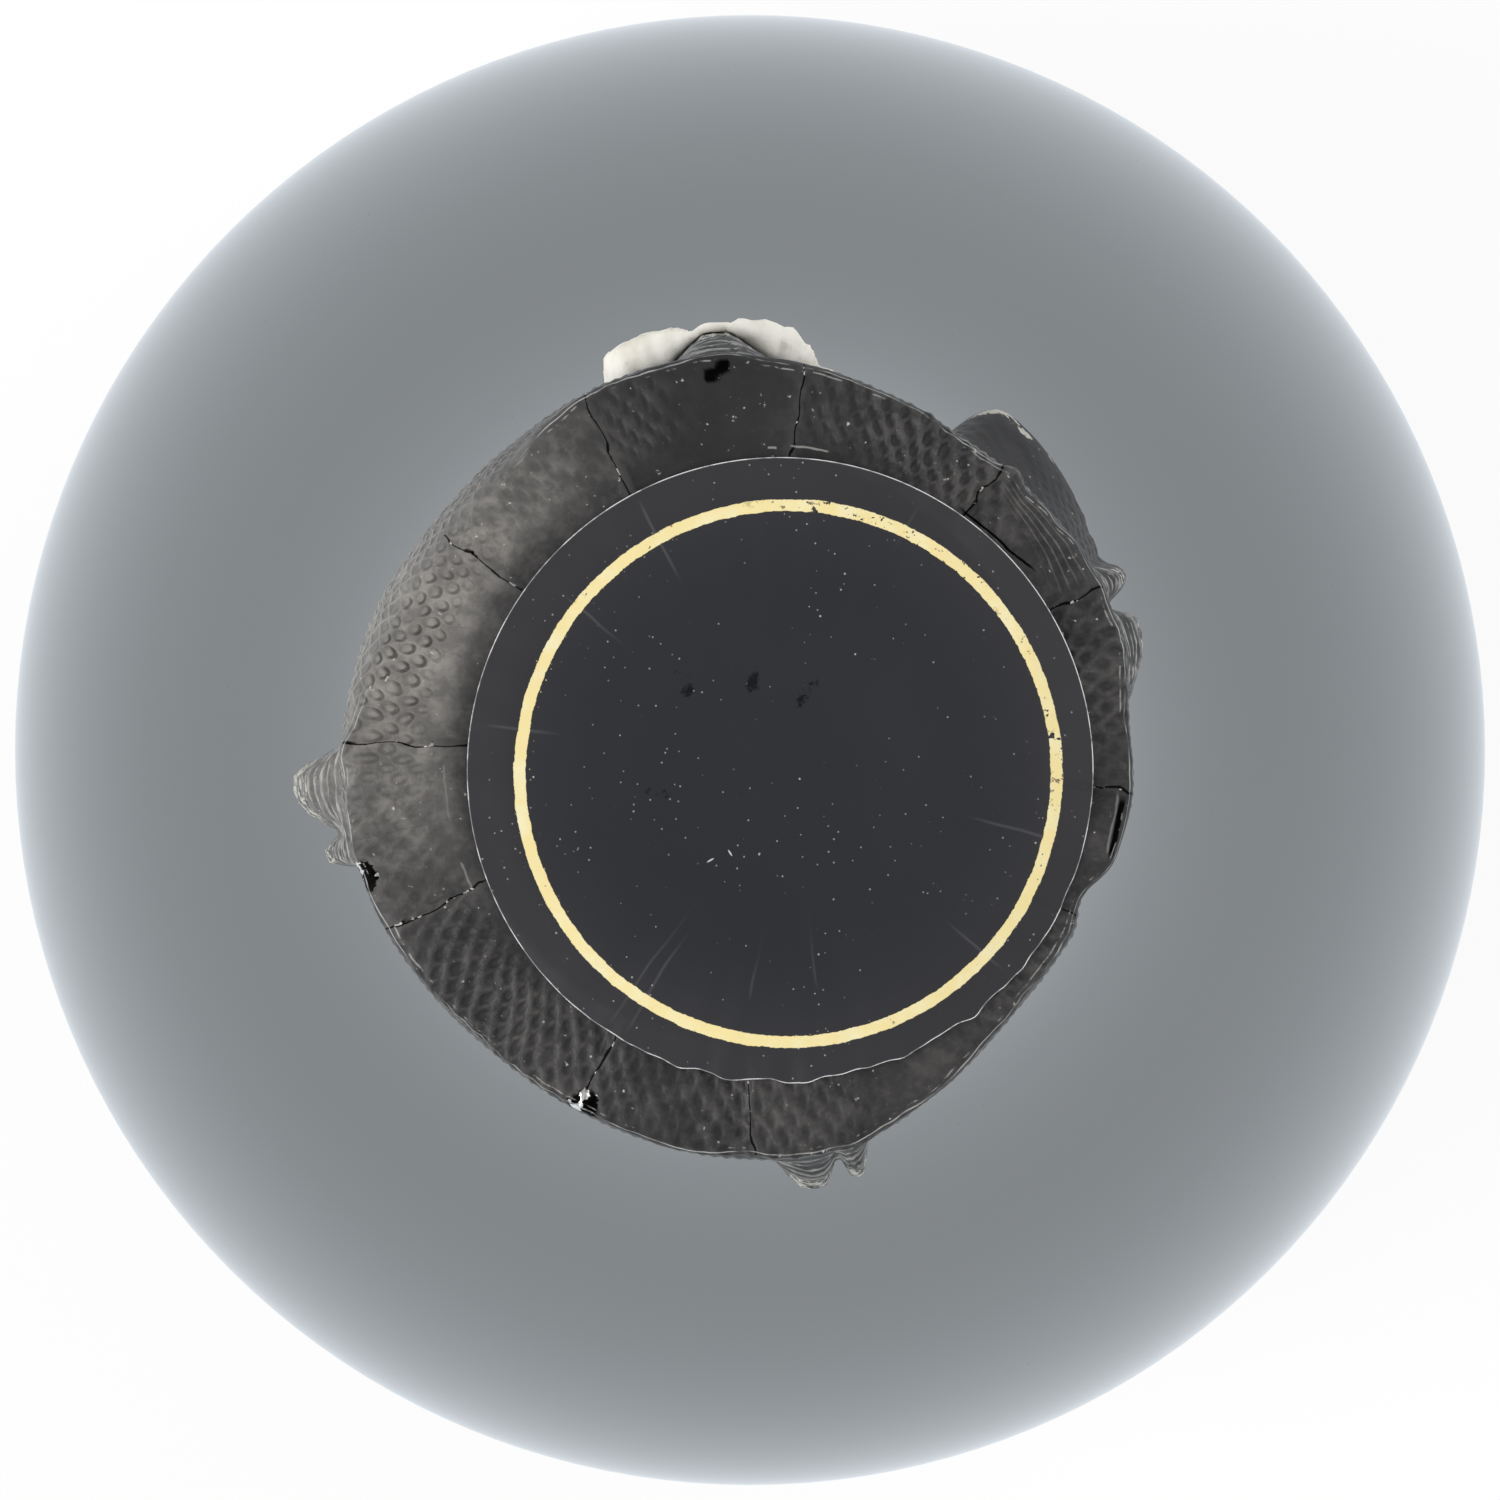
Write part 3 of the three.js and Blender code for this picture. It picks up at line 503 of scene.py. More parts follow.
class Value:
    """A socket of a material, with the sums that the finishes are written in."""

    def __init__(self, finish, socket):
        self.finish = finish
        self.socket = socket

    def math(self, operation, *others):
        return self.finish.node("ShaderNodeMath", {"operation": operation}, dict(enumerate((self, *others))))

    def __add__(self, other):
        return self.math("ADD", other)

    __radd__ = __add__

    def __sub__(self, other):
        return self.math("SUBTRACT", other)

    def __rsub__(self, other):
        return self.finish.node("ShaderNodeMath", {"operation": "SUBTRACT"}, {0: other, 1: self})

    def __mul__(self, other):
        return self.math("MULTIPLY", other)

    __rmul__ = __mul__

    def __abs__(self):
        return self.math("ABSOLUTE")

    def least(self, other):
        return self.math("MINIMUM", other)

    def most(self, other):
        return self.math("MAXIMUM", other)

    def cell(self):
        """Distance from the nearest whole number, with its sign."""
        return (self + 0.5).math("FRACT") - 0.5

    def rise(self, low, high):
        """Smooth rise from 0 at low to 1 at high."""
        inputs = {"Value": self, "From Min": low, "From Max": high}
        return self.finish.node("ShaderNodeMapRange", {"interpolation_type": "SMOOTHSTEP"}, inputs)

    def fall(self, low, high):
        return 1 - self.rise(low, high)


def diagonal(a, b):
    """Length of a line whose two parts are given."""
    return (a * a + b * b).math("SQRT")


def highest(values):
    """The greatest of several values at each point."""
    greatest = values[0]
    for value in values[1:]:
        greatest = greatest.most(value)
    return greatest


class Finish:
    """The nodes that make the look of a material or of the world."""

    def __init__(self, owner):
        owner.use_nodes = True
        self.owner = owner
        self.tree = owner.node_tree
        self.tree.nodes.clear()

    def node(self, kind, settings, inputs, output=0):
        """Adds a node, sets it up, feeds its sockets and gives one of its outputs."""
        made = self.tree.nodes.new(kind)
        for key, value in settings.items():
            if key == "stops":
                self.stops(made.color_ramp, value)
            else:
                setattr(made, key, value)
        for key, value in inputs.items():
            if isinstance(value, Value):
                self.tree.links.new(value.socket, made.inputs[key])
            else:
                made.inputs[key].default_value = value
        return Value(self, made.outputs[output]) if made.outputs else None

    @staticmethod
    def stops(ramp, stops):
        while len(ramp.elements) < len(stops):
            ramp.elements.new(1.0)
        for element, (place, shade) in zip(ramp.elements, stops):
            element.position = place
            element.color = (*shade, 1.0)

    def place(self):
        return self.node("ShaderNodeTexCoord", {}, {}, "Object")

    def axes(self, vector):
        split = self.node("ShaderNodeSeparateXYZ", {}, {0: vector}).socket.node
        return [Value(self, output) for output in split.outputs]

    def stretched(self, vector, scale):
        return self.node("ShaderNodeVectorMath", {"operation": "MULTIPLY"}, {0: vector, 1: scale})

    def grain(self, vector, scale, detail=2.0, roughness=0.5, output=0):
        inputs = {"Vector": vector, "Scale": scale, "Detail": detail, "Roughness": roughness}
        return self.node("ShaderNodeTexNoise", {}, inputs, output)

    def cells(self, vector, scale, feature="F1", output="Distance"):
        inputs = {"Vector": vector, "Scale": scale}
        return self.node("ShaderNodeTexVoronoi", {"feature": feature}, inputs, output)

    def attribute(self, name):
        return self.node("ShaderNodeAttribute", {"attribute_name": name}, {}, "Fac")

    def ray(self, kind):
        return self.node("ShaderNodeLightPath", {}, {}, f"Is {kind} Ray")

    def shade(self, first, second, factor):
        """A colour between two colours."""
        first, second = (c if isinstance(c, Value) else (*c, 1.0) for c in (first, second))
        return self.node("ShaderNodeMix", {"data_type": "RGBA"}, {0: factor, 6: first, 7: second}, 2)

    def bump(self, height, distance, strength=1.0, under=None):
        inputs = {"Strength": strength, "Distance": distance, "Height": height}
        if under is not None:
            inputs["Normal"] = under
        return self.node("ShaderNodeBump", {}, inputs)

    def surface(self, **sockets):
        """Ends the material in one principled shader."""
        inputs = {}
        for key, value in sockets.items():
            name = key.replace("_", " ").title().replace("Ior", "IOR")
            inputs[name] = value
        shader = self.node("ShaderNodeBsdfPrincipled", {}, inputs)
        self.node("ShaderNodeOutputMaterial", {}, {"Surface": shader})
        return self.owner


def new_finish(name):
    return Finish(bpy.data.materials.new(name))


def dark_glass(glass):
    """Dark polished glass with a mould seam, dust, and scratches where bottles rub together."""
    f = new_finish("glass_dark")
    place = f.place()
    _, y, z = f.axes(place)
    smear = f.grain(f.stretched(place, (1, 1, 0.35)), 55, 3, 0.6)
    scratch = f.grain(f.stretched(place, (1, 1, 9)), 420, 2, 0.5).rise(0.62, 0.72)
    at_heel, at_hip = abs(z - 0.007), abs(z - 0.112)
    wear = scratch * (at_heel.fall(0.001, 0.006) + at_hip.fall(0.002, 0.010) * 0.6)
    dust = f.cells(place, 900).fall(0.05, 0.09) * f.grain(place, 130).rise(0.58, 0.70)
    seam = abs(y).fall(0.00008, 0.00045) * z.fall(0.262, 0.270) * z.rise(0.003, 0.010)
    ripple = f.grain(f.stretched(place, (1, 1, 0.4)), 26, 1, 0.4)
    normal = f.bump(ripple, 0.00004, 0.35)
    normal = f.bump(seam, 0.00004, 0.2, normal)
    tint = f.shade(tuple(glass.tint), (0.030, 0.030, 0.028), (wear * 0.5 + dust * 0.5).least(1.0))
    roughness = glass.haze + smear.rise(0.45, 0.75) * 0.025 + wear * 0.22 + dust * 0.3
    return f.surface(base_color=tint, roughness=roughness, ior=1.52, normal=normal)


def pale_wine(glass):
    f = new_finish("pale_wine")
    bubbles = f.cells(f.place(), 260).fall(0.03, 0.07)
    tint = f.shade(tuple(glass.wine), (0.95, 0.88, 0.62), bubbles)
    return f.surface(base_color=tint, roughness=0.02, ior=1.34, transmission_weight=0.85)


def pressed_cork(cork):
    """Cork granules of several browns with dark joints between them."""
    f = new_finish("pressed_cork")
    place = f.place()
    warp = f.grain(place, 500, 2, 0.5, "Color")
    bent = f.node(
        "ShaderNodeVectorMath", {"operation": "MULTIPLY_ADD"}, {0: warp, 1: (0.0009,) * 3, 2: place}
    )
    scale = 1.0 / cork.granule
    edge = f.cells(bent, scale, "DISTANCE_TO_EDGE")
    pick = f.axes(f.cells(bent, scale, "F1", "Color"))[0]
    fine = f.grain(place, 2600, 3, 0.6)
    stops = [
        (0.0, tuple(cork.dark)),
        (0.25, (0.36, 0.20, 0.10)),
        (0.6, (0.50, 0.31, 0.16)),
        (1.0, tuple(cork.pale)),
    ]
    body = f.node("ShaderNodeValToRGB", {"stops": stops}, {"Fac": pick * 0.8 + fine * 0.3}, "Color")
    joint = edge.fall(0.015, 0.075)
    tint = f.shade(body, tuple(cork.dark), joint * 0.75)
    normal = f.bump(fine * 0.4 - joint, 0.00012, 0.8)
    return f.surface(base_color=tint, roughness=0.86 - joint * 0.05, normal=normal)


def natural_cork(cork):
    """Cork cut from the bark, with year rings and pores."""
    f = new_finish("cork_natural")
    place = f.place()
    y = f.axes(place)[1]
    layers = f.grain(f.stretched(place, (0.25, 1.0, 0.35)), 900, 4, 0.6)
    pores = f.cells(f.stretched(place, (0.35, 1.0, 0.55)), 520).fall(0.12, 0.26)
    pores = pores * f.grain(place, 260).rise(0.5, 0.62)
    year = ((y * 700 + layers * 2.5).math("SINE") * 0.5 + 0.5) * 0.35
    tint = f.shade(tuple(cork.pale), (0.42, 0.25, 0.12), (layers * 0.55 + year).least(1.0))
    tint = f.shade(tint, tuple(cork.dark), pores)
    normal = f.bump(layers * 0.4 - pores, 0.00014, 0.8)
    return f.surface(base_color=tint, roughness=0.82 + pores * 0.1, normal=normal)


def stamped_tin(muzzle):
    """Tinned sheet with turning marks and dull specks."""
    f = new_finish("stamped_tin")
    place = f.place()
    x, y, z = f.axes(place)
    rings = f.node("ShaderNodeCombineXYZ", {}, {0: diagonal(x, y) * 60, 1: z * 60})
    marks = f.grain(rings, 90, 3, 0.6)
    speck = f.grain(place, 900, 3, 0.6)
    tint = f.shade(tuple(muzzle.tin), (0.36, 0.34, 0.31), speck.rise(0.55, 0.75) * 0.5)
    roughness = 0.24 + marks * 0.12 + speck * 0.08
    normal = f.bump(marks, 0.00002, 0.25)
    return f.surface(base_color=tint, metallic=1.0, roughness=roughness, normal=normal)


def galvanised(muzzle):
    """Drawn wire with the spangle of its zinc."""
    f = new_finish("galvanised_wire")
    place = f.place()
    shine = f.axes(f.cells(place, 1500, "F1", "Color"))[0]
    draw = f.grain(place, 2600, 3, 0.6)
    tint = f.shade(tuple(muzzle.steel), (0.33, 0.34, 0.36), shine * 0.6)
    normal = f.bump(draw, 0.00003, 0.4)
    return f.surface(base_color=tint, metallic=1.0, roughness=0.26 + shine * 0.16, normal=normal)


def embossed_foil(foil):
    """Black lacquered foil: a net of fine lines, ring dimples, gathers, folds and spots of bare metal, with
    painted highlights and shade on them and a painted reflection on one side.
    """
    f = new_finish("foil_pressed")
    place = f.place()
    x, y, z = f.axes(place)
    on_top = z.rise(0.317, 0.319)
    fleck = f.grain(place, 2400, 2, 0.5)
    patchy = f.grain(place, 420, 3, 0.6)
    mottle = f.grain(place, 900, 4, 0.65)
    cloud = f.grain(place, 170, 4, 0.6)
    speckle = f.grain(place, 3200, 2, 0.6)
    ragged = f.grain(place, 1700, 3, 0.65) - 0.5

    # The pressed lattice: one dimple at each whole place of the map and one in the middle of every four.
    lattice = f.axes(f.node("ShaderNodeUVMap", {"uv_map": "emboss"}, {}))
    drift = f.axes(f.grain(place, 420, 1, 0.5, "Color"))
    u, v = lattice[0] + (drift[0] - 0.5) * 0.8, lattice[1] + (drift[1] - 0.5) * 0.8
    first_v, second_v = v.cell(), (v + 0.5).cell()
    first = diagonal(u.cell(), first_v)
    second = diagonal((u + 0.5).cell(), second_v)
    away = first.least(second)
    steep, shallow = abs((u - v).cell()), abs((u + v).cell())
    netted = f.attribute("netted")
    ringed = f.attribute("ringed") * patchy.rise(0.30, 0.45)
    # Painted highlight: the raised lines of the net are drawn lighter; the net is also the height of the
    # bumped relief.
    net = steep.rise(0.10, 0.50).most(shallow.rise(0.24, 0.50) * 0.45)
    net = net * netted * (0.35 + mottle.rise(0.38, 0.62) * 0.65)
    # Painted highlight: bright thin lines on the net, strongest on the softly rolled side.
    thread_highlight = steep.most(shallow).rise(0.38, 0.50) * f.attribute("lined")
    thread_highlight = thread_highlight * (0.4 + patchy.rise(0.35, 0.6) * 0.6)
    # Painted shade: the pits of the dimples are drawn darker; they are also part of the bumped relief.
    pit = away.fall(0.10, 0.32) * netted
    # Painted shade: a dark ring round each dimple, darkest on the side that faces in.
    facing_in = (0.0 - first_v).rise(-0.10, 0.16) * first.fall(0.34, 0.40)
    facing_in = facing_in.most((0.0 - second_v).rise(-0.10, 0.16) * second.fall(0.34, 0.40))
    ring = abs(away - 0.24).fall(0.03, 0.11) * ringed * (0.25 + facing_in * 0.75)
    # Painted highlight on the crown of each raised dimple.
    speck = away.fall(0.03, 0.13) * ringed

    # Folds of the top, the creased rim and the gathers over the legs, with painted shade in the folds and
    # painted highlights on the rim and gathers.
    fold = abs(f.attribute("fold_away"))
    # Painted shade: a dark thin line along each fold.
    line = fold.fall(0.022, 0.062)
    lap = fold.fall(0.05, 0.45)
    chip = line * fleck.rise(0.60, 0.64)
    # Painted highlight: thin bright broken lines along the rim's crease and just beside it.
    rim = f.attribute("rim_away") + (f.grain(place, 300, 2, 0.5) - 0.5) * 0.7
    edge = abs(rim).fall(0.010, 0.055) * patchy.rise(0.34, 0.58)
    edge = edge.most(abs(rim - 0.36).fall(0.015, 0.06) * patchy.rise(0.46, 0.60) * 0.8)
    edge = edge.most(abs(rim + 0.24).fall(0.015, 0.05) * mottle.rise(0.50, 0.60) * 0.6)
    edge = edge * f.attribute("rim_level")
    # Painted highlight along the crests of the gathers and pleats; the bright cut edges of the tabs join it
    # below.
    gather = abs((f.attribute("crease") + (patchy - 0.5) * 0.7).cell()).fall(0.05, 0.17)
    gather = gather * f.attribute("crease_level") * (0.45 + mottle.rise(0.38, 0.62) * 0.55)
    for angle, radius, half, bright in TABS:
        out, aside = turned(x, y, angle)
        mark = abs(out - radius + (patchy - 0.5) * 0.0006).fall(0.00002, 0.00008)
        mark = mark * abs(aside).fall(half * 0.8, half)
        gather = gather.most(mark * on_top * (0.6 + patchy.rise(0.4, 0.55) * 0.4) * bright)
    # Painted shade: dark lines where a fold stands open and along the crease beside the disc.
    slits = []
    for at_x, at_y, angle, half, wide in SLITS:
        along, across = turned(x - at_x, y - at_y, angle)
        across = abs(across + (patchy - 0.5) * 0.0004)
        slits.append(across.fall(wide * 0.6, wide) * abs(along).fall(half * 0.7, half))
    slit = highest(slits) * on_top

    # Wear, from rubbed lacquer to torn foil, with a painted reflection on the softly rolled side and painted
    # shade in the hole.
    # Painted reflection: the softly rolled side is drawn lighter, standing in for the bright room it
    # reflects.
    lit = f.attribute("lit") * (0.55 + mottle.rise(0.40, 0.66) * 0.45)
    taut = f.attribute("taut")
    torn = (f.attribute("tear_away") + ragged * 1.1).fall(-0.10, 0.02)
    bare = torn * f.grain(place, 1350, 2, 0.6).rise(0.55, 0.58)
    # Painted shade: a near-black spot for the hole beside the ridge at the back.
    hollow = (f.attribute("hollow") + (mottle - 0.5) * 0.4).rise(0.3, 0.9)
    worn = (f.attribute("worn") + ragged * 1.2 + (speckle - 0.5) * 1.8).rise(0.42, 0.62)
    dust = f.cells(place, 1300).fall(0.05, 0.10) * f.grain(place, 330).rise(0.56, 0.66)
    rub_and_relief_light = cloud.rise(0.36, 0.68) * 0.40 + mottle.rise(0.42, 0.68) * 0.38 + speckle.rise(0.45, 0.70) * 0.22
    rub_and_relief_light = rub_and_relief_light * (1 - taut * 0.7) * (1 - f.attribute("sleek")) * 0.75
    # Painted highlight on the net, painted shade in the pits and a little lighter beside the folds, on top of
    # the rubbed lacquer.
    rub_and_relief_light = rub_and_relief_light + net * 0.70 - pit * 0.35 + lap * 0.10
    # Near-black: painted shade in the fold lines, slits, hole and dimple rings, and the torn spots.
    dark = (line * 0.9 + torn + hollow + slit + ring * 0.6).least(1.0)

    tint = f.shade(tuple(foil.black), tuple(foil.rubbed), rub_and_relief_light.least(1.0).most(0.0))
    tint = f.shade(tint, (0.33, 0.312, 0.288), lit * 0.85)
    tint = f.shade(tint, (0.26, 0.245, 0.22), speck * 0.8)
    tint = f.shade(tint, (0.36, 0.355, 0.34), thread_highlight * 0.85)
    tint = f.shade(tint, (0.003, 0.003, 0.003), dark)
    tint = f.shade(tint, (0.66, 0.65, 0.61), (chip + dust * 0.5 + gather * 0.46).least(1.0))
    tint = f.shade(tint, (0.52, 0.52, 0.50), edge * 0.85)
    tint = f.shade(tint, (0.58, 0.57, 0.51), worn * 0.85)
    tint = f.shade(tint, tuple(foil.silver), bare)
    roughness = 0.46 + mottle * 0.14 + line * 0.2 + taut * 0.26 - bare * 0.2
    normal = f.bump(net - pit + ring * 0.5, 0.00014, 0.8)
    normal = f.bump(mottle + speckle * 0.5, 0.00005, 0.4, normal)
    normal = f.bump(lap + gather * 0.6 + bare * 2, 0.00006, 0.6, normal)
    return f.surface(base_color=tint, metallic=dark, roughness=roughness, ior=1.42, normal=normal)


def foil_lining(foil):
    """Bare crumpled metal on the inner face of the foil."""
    f = new_finish("foil_lining")
    place = f.place()
    crumple = f.grain(place, 700, 4, 0.6)
    crease = f.cells(place, 260, "DISTANCE_TO_EDGE").fall(0.0, 0.06)
    tint = f.shade(tuple(foil.silver), (0.45, 0.44, 0.43), crumple.rise(0.4, 0.7) * 0.5)
    normal = f.bump(crumple * 0.5 + crease, 0.00012, 0.6)
    return f.surface(base_color=tint, metallic=1.0, roughness=0.30 + crumple * 0.15, normal=normal)


def satin_foil(disc):
    """Satin lacquer with one plain printed ring, wrinkles drawn as painted highlights, dust and a bright cut
    edge.
    """
    f = new_finish("foil_satin")
    place = f.place()
    middle = f.node(
        "ShaderNodeMapping", {"vector_type": "POINT"}, {0: place, 1: (-disc.offset_x, -disc.offset_y, 0.0)}
    )
    x, y, _ = f.axes(middle)

    # The printed ring, with chips and spatter along it.
    ragged = (f.grain(place, 2600, 3, 0.7) - 0.5) * 0.00016 + (f.grain(place, 700, 2, 0.5) - 0.5) * 0.00010
    ring = diagonal(x - disc.ring_offset_x, y - disc.ring_offset_y)
    stroke = abs(ring + ragged - disc.ring_radius)
    patches = f.grain(place, 500, 2, 0.5)
    chips = f.grain(place, 3600, 3, 0.7).fall(0.30, 0.345) * patches.rise(0.47, 0.60)
    flaked = f.grain(place, 2600, 3, 0.7).fall(0.37, 0.40) * patches.rise(0.34, 0.46)
    chips = chips.most(flaked * (x + y).rise(0.009, 0.014))
    print_mask = stroke.fall(disc.ring_width * 0.47, disc.ring_width * 0.53) * (1 - chips)
    near = stroke.fall(disc.ring_width * 0.5, disc.ring_width * 1.25)
    spatter = f.cells(place, 3800).fall(0.10, 0.16) * near * f.grain(place, 420, 2, 0.5).rise(0.56, 0.64)
    printed = (print_mask + spatter * 0.8).least(1.0)

    # Dust, scuffs, nicks and pulled wrinkles drawn as painted highlight lines; the disc is also made lighter
    # towards its edge.
    def oval(at_x, at_y, angle, half_long, half_wide):
        along, across = turned(x - at_x, y - at_y, angle)
        return diagonal(along * (1 / half_long), across * (1 / half_wide))

    specks = f.cells(place, 760).fall(0.022, 0.050) * f.grain(place, 170, 3, 0.6).rise(0.38, 0.52)
    fine_specks = f.cells(place, 2100).fall(0.06, 0.12) * f.grain(place, 240, 3, 0.6).rise(0.46, 0.58)
    scuffed = highest([oval(*spot).fall(0.1, 1.1) for spot in SCUFFS])
    nicked = highest([oval(*spot).fall(0.6, 1.0) for spot in NICKS])
    smudge = (scuffed + (f.grain(place, 1500, 4, 0.75) - 0.5) * 3.4).rise(0.75, 1.25)
    haze = f.grain(place, 95, 3, 0.55)
    # Painted highlight: each pulled wrinkle is drawn as a thin lighter line.
    streaks = []
    for angle, start, end in WRINKLES:
        along, across = turned(x, y, angle)
        ends = along.rise(start, start + 0.002) * along.fall(end - 0.001, end)
        streaks.append(abs(across + (haze - 0.5) * 0.0012).fall(0.00002, 0.00010) * ends)
    streak = highest(streaks) * 0.6 * haze.rise(0.25, 0.6)
    outer = f.attribute("from_middle").rise(0.0085, 0.0140)
    cut = f.attribute("from_edge").fall(0.00001, 0.00006)
    cut = cut * (0.30 + f.grain(place, 900, 3, 0.6).rise(0.38, 0.58) * 0.70)

    tint = f.shade(tuple(disc.satin), (0.030, 0.029, 0.034), (outer * 0.75 + haze * 0.25).least(1.0))
    tint = f.shade(tint, (0.09, 0.09, 0.10), streak.least(1.0))
    tint = f.shade(tint, (0.006, 0.006, 0.007), smudge * 0.8)
    tint = f.shade(tint, (0.55, 0.56, 0.57), (specks * 0.7 + fine_specks * 0.45 + nicked).least(1.0))
    gold = f.shade(tuple(disc.gold), (0.93, 0.85, 0.52), f.grain(place, 800, 3, 0.6).rise(0.4, 0.75))
    tint = f.shade(tint, gold, printed)
    tint = f.shade(tint, (0.88, 0.88, 0.88), cut)
    roughness = 0.34 + haze * 0.10 + printed * 0.10 + smudge * 0.15
    normal = f.bump(f.grain(place, 330, 3, 0.55), 0.00005, 0.30)
    normal = f.bump(printed, 0.00002, 0.5, normal)
    return f.surface(base_color=tint, metallic=smudge * 0.7, roughness=roughness, ior=1.5, normal=normal)


def cream_paper(paper):
    """Soft cream paper with fibres, yellowed clouds and a little soil."""
    f = new_finish("cream_paper")
    place = f.place()
    fibre = f.grain(f.stretched(place, (1, 1, 0.4)), 2400, 4, 0.65)
    cloud = f.grain(place, 420, 3, 0.6)
    soil = f.grain(place, 900, 3, 0.6).rise(0.58, 0.74)
    tint = f.shade(tuple(paper.cream), (0.66, 0.60, 0.47), cloud.rise(0.42, 0.75) * 0.6)
    tint = f.shade(tint, (0.30, 0.26, 0.20), soil * 0.35)
    normal = f.bump(fibre + cloud, 0.00006, 0.6)
    return f.surface(base_color=tint, roughness=0.86 + fibre * 0.08, normal=normal)


# Glass and wine

PUNT_EDGE = 34.2 * MM


def punt_line(glass, steps):
    """The hollow under the base, from its top out to the ring that the bottle stands on."""
    top = glass.punt_height
    return sweep((0, top), (PUNT_EDGE / 3, top), (PUNT_EDGE * 0.8, top / 3), (PUNT_EDGE, 0), steps)


def glass_outside(glass):
    """Outline of the outer face, from the top of the punt to the lip."""
    ring, heel = 36.8 * MM, 7 * MM
    groove, band, waist, rim = 12.9 * MM, 14.9 * MM, 13.1 * MM, 14.3 * MM
    lip = glass.height
    ease = glass.shoulder_ease
    slope = (glass.neck_radius - groove) / (19 * MM)
    r, z = glass.body_radius, glass.shoulder_start
    neck = (glass.neck_radius, glass.neck_start)
    foot = (groove + 0.1 * MM, lip - 29.8 * MM)
    return joined(
        punt_line(glass, 36),
        bend((ring, 0), (r, 0), (r, heel), 14),
        straight((r, heel), (r, z), 24),
        sweep((r, z), (r, z + ease), (neck[0] + slope * ease, neck[1] - ease), neck, 70),
        straight(neck, foot, 10),
        bend(foot, (groove, lip - 29 * MM), (groove, lip - 28 * MM), 4),
        bend((groove, lip - 22.7 * MM), (groove, lip - 22 * MM), (groove + 0.7 * MM, lip - 22 * MM), 4),
        bend((band - 0.7 * MM, lip - 22 * MM), (band, lip - 22 * MM), (band, lip - 21.3 * MM), 5),
        bend((band, lip - 15.4 * MM), (band, lip - 14 * MM), (waist, lip - 12.6 * MM), 8),
        bend((waist, lip - 6.9 * MM), (rim, lip - 5.5 * MM), (rim, lip - 4.1 * MM), 8),
        bend((rim, lip - 1.4 * MM), (rim, lip), (rim - 2.8 * MM, lip), 10),
    )


def glass_inside(glass):
    """Outline of the inner face, from the lip down to the top of the punt."""
    lip = glass.height
    cavity = glass.body_radius - glass.body_wall
    neck, bore, mouth = 10.3 * MM, glass.bore_radius, 1.4 * MM
    ease = glass.shoulder_ease
    slope = (neck - bore) / (22 * MM)
    dome = [p for p in inset(punt_line(glass, 24), 7 * MM) if p.y > 14 * MM][::-1]
    return joined(
        bend((bore + mouth, lip), (bore, lip), (bore, lip - mouth), 8),
        straight((bore, lip - mouth), (bore, lip - 26 * MM), 8),
        sweep(
            (neck, glass.neck_start), (neck + slope * ease, glass.neck_start - ease),
            (cavity, glass.shoulder_start + ease), (cavity, glass.shoulder_start), 50,
        ),
        bend((cavity, 20 * MM), (cavity - 1.2 * MM, 3.5 * MM), dome[0], 12),
        dome,
    )


class BOTTLE_OT_glass(bpy.types.Operator):
    """Turns the dark glass bottle with its punt, band and lip"""

    bl_idname = "bottle.glass"
    bl_label = "Glass bottle"

    def execute(self, context):
        glass = context.scene.sparkling_bottle.glass
        bm = spun(joined(glass_outside(glass), glass_inside(glass)), 160)
        wave = 0.012 * MM
        for vert in bm.verts:
            sway = noise.noise(Vector((vert.co.x * 22, vert.co.y * 22, vert.co.z * 9)))
            reach = vert.co.xy.length
            if reach > 10 * MM and 8 * MM < vert.co.z < 250 * MM:
                vert.co.xy *= 1 + wave * sway / reach
        obj = piece(bm, "bottle_glass", [dark_glass(glass)], sharp=40)
        stands_for(obj, "glass_bottle", "bottle")
        return {"FINISHED"}


class BOTTLE_OT_wine(bpy.types.Operator):
    """Fills the bottle with wine that climbs a little at the wall"""

    bl_idname = "bottle.wine"
    bl_label = "Wine"

    def execute(self, context):
        glass = context.scene.sparkling_bottle.glass
        level = glass.fill_height
        inside = glass_inside(glass)
        above = min((p for p in inside if p.y >= level), key=lambda p: p.y)
        below = max((p for p in inside if p.y < level), key=lambda p: p.y)
        surface = below.lerp(above, (level - below.y) / (above.y - below.y))
        clear_of_glass = -0.3 * MM
        wetted = inset(joined([surface], [p for p in inside if p.y < level]), clear_of_glass)[::-1]
        edge, low = wetted[-1].x, level - 0.9 * MM
        meniscus = bend((edge, level), (edge, low), (edge - 2.5 * MM, low), 6)
        bm = spun(joined(wetted[:-1], meniscus, [(0, low)]), 96)
        obj = piece(bm, "wine_fill", [pale_wine(glass)], sharp=50)
        stands_for(obj, "wine", "bottle")
        return {"FINISHED"}


# Cork

def roughen(bm, depth, scale):
    """Moves each vertex a little along its normal, as cut cork is."""
    bm.normal_update()
    for vert in bm.verts:
        vert.co += vert.normal * (depth * noise.noise(vert.co * scale))


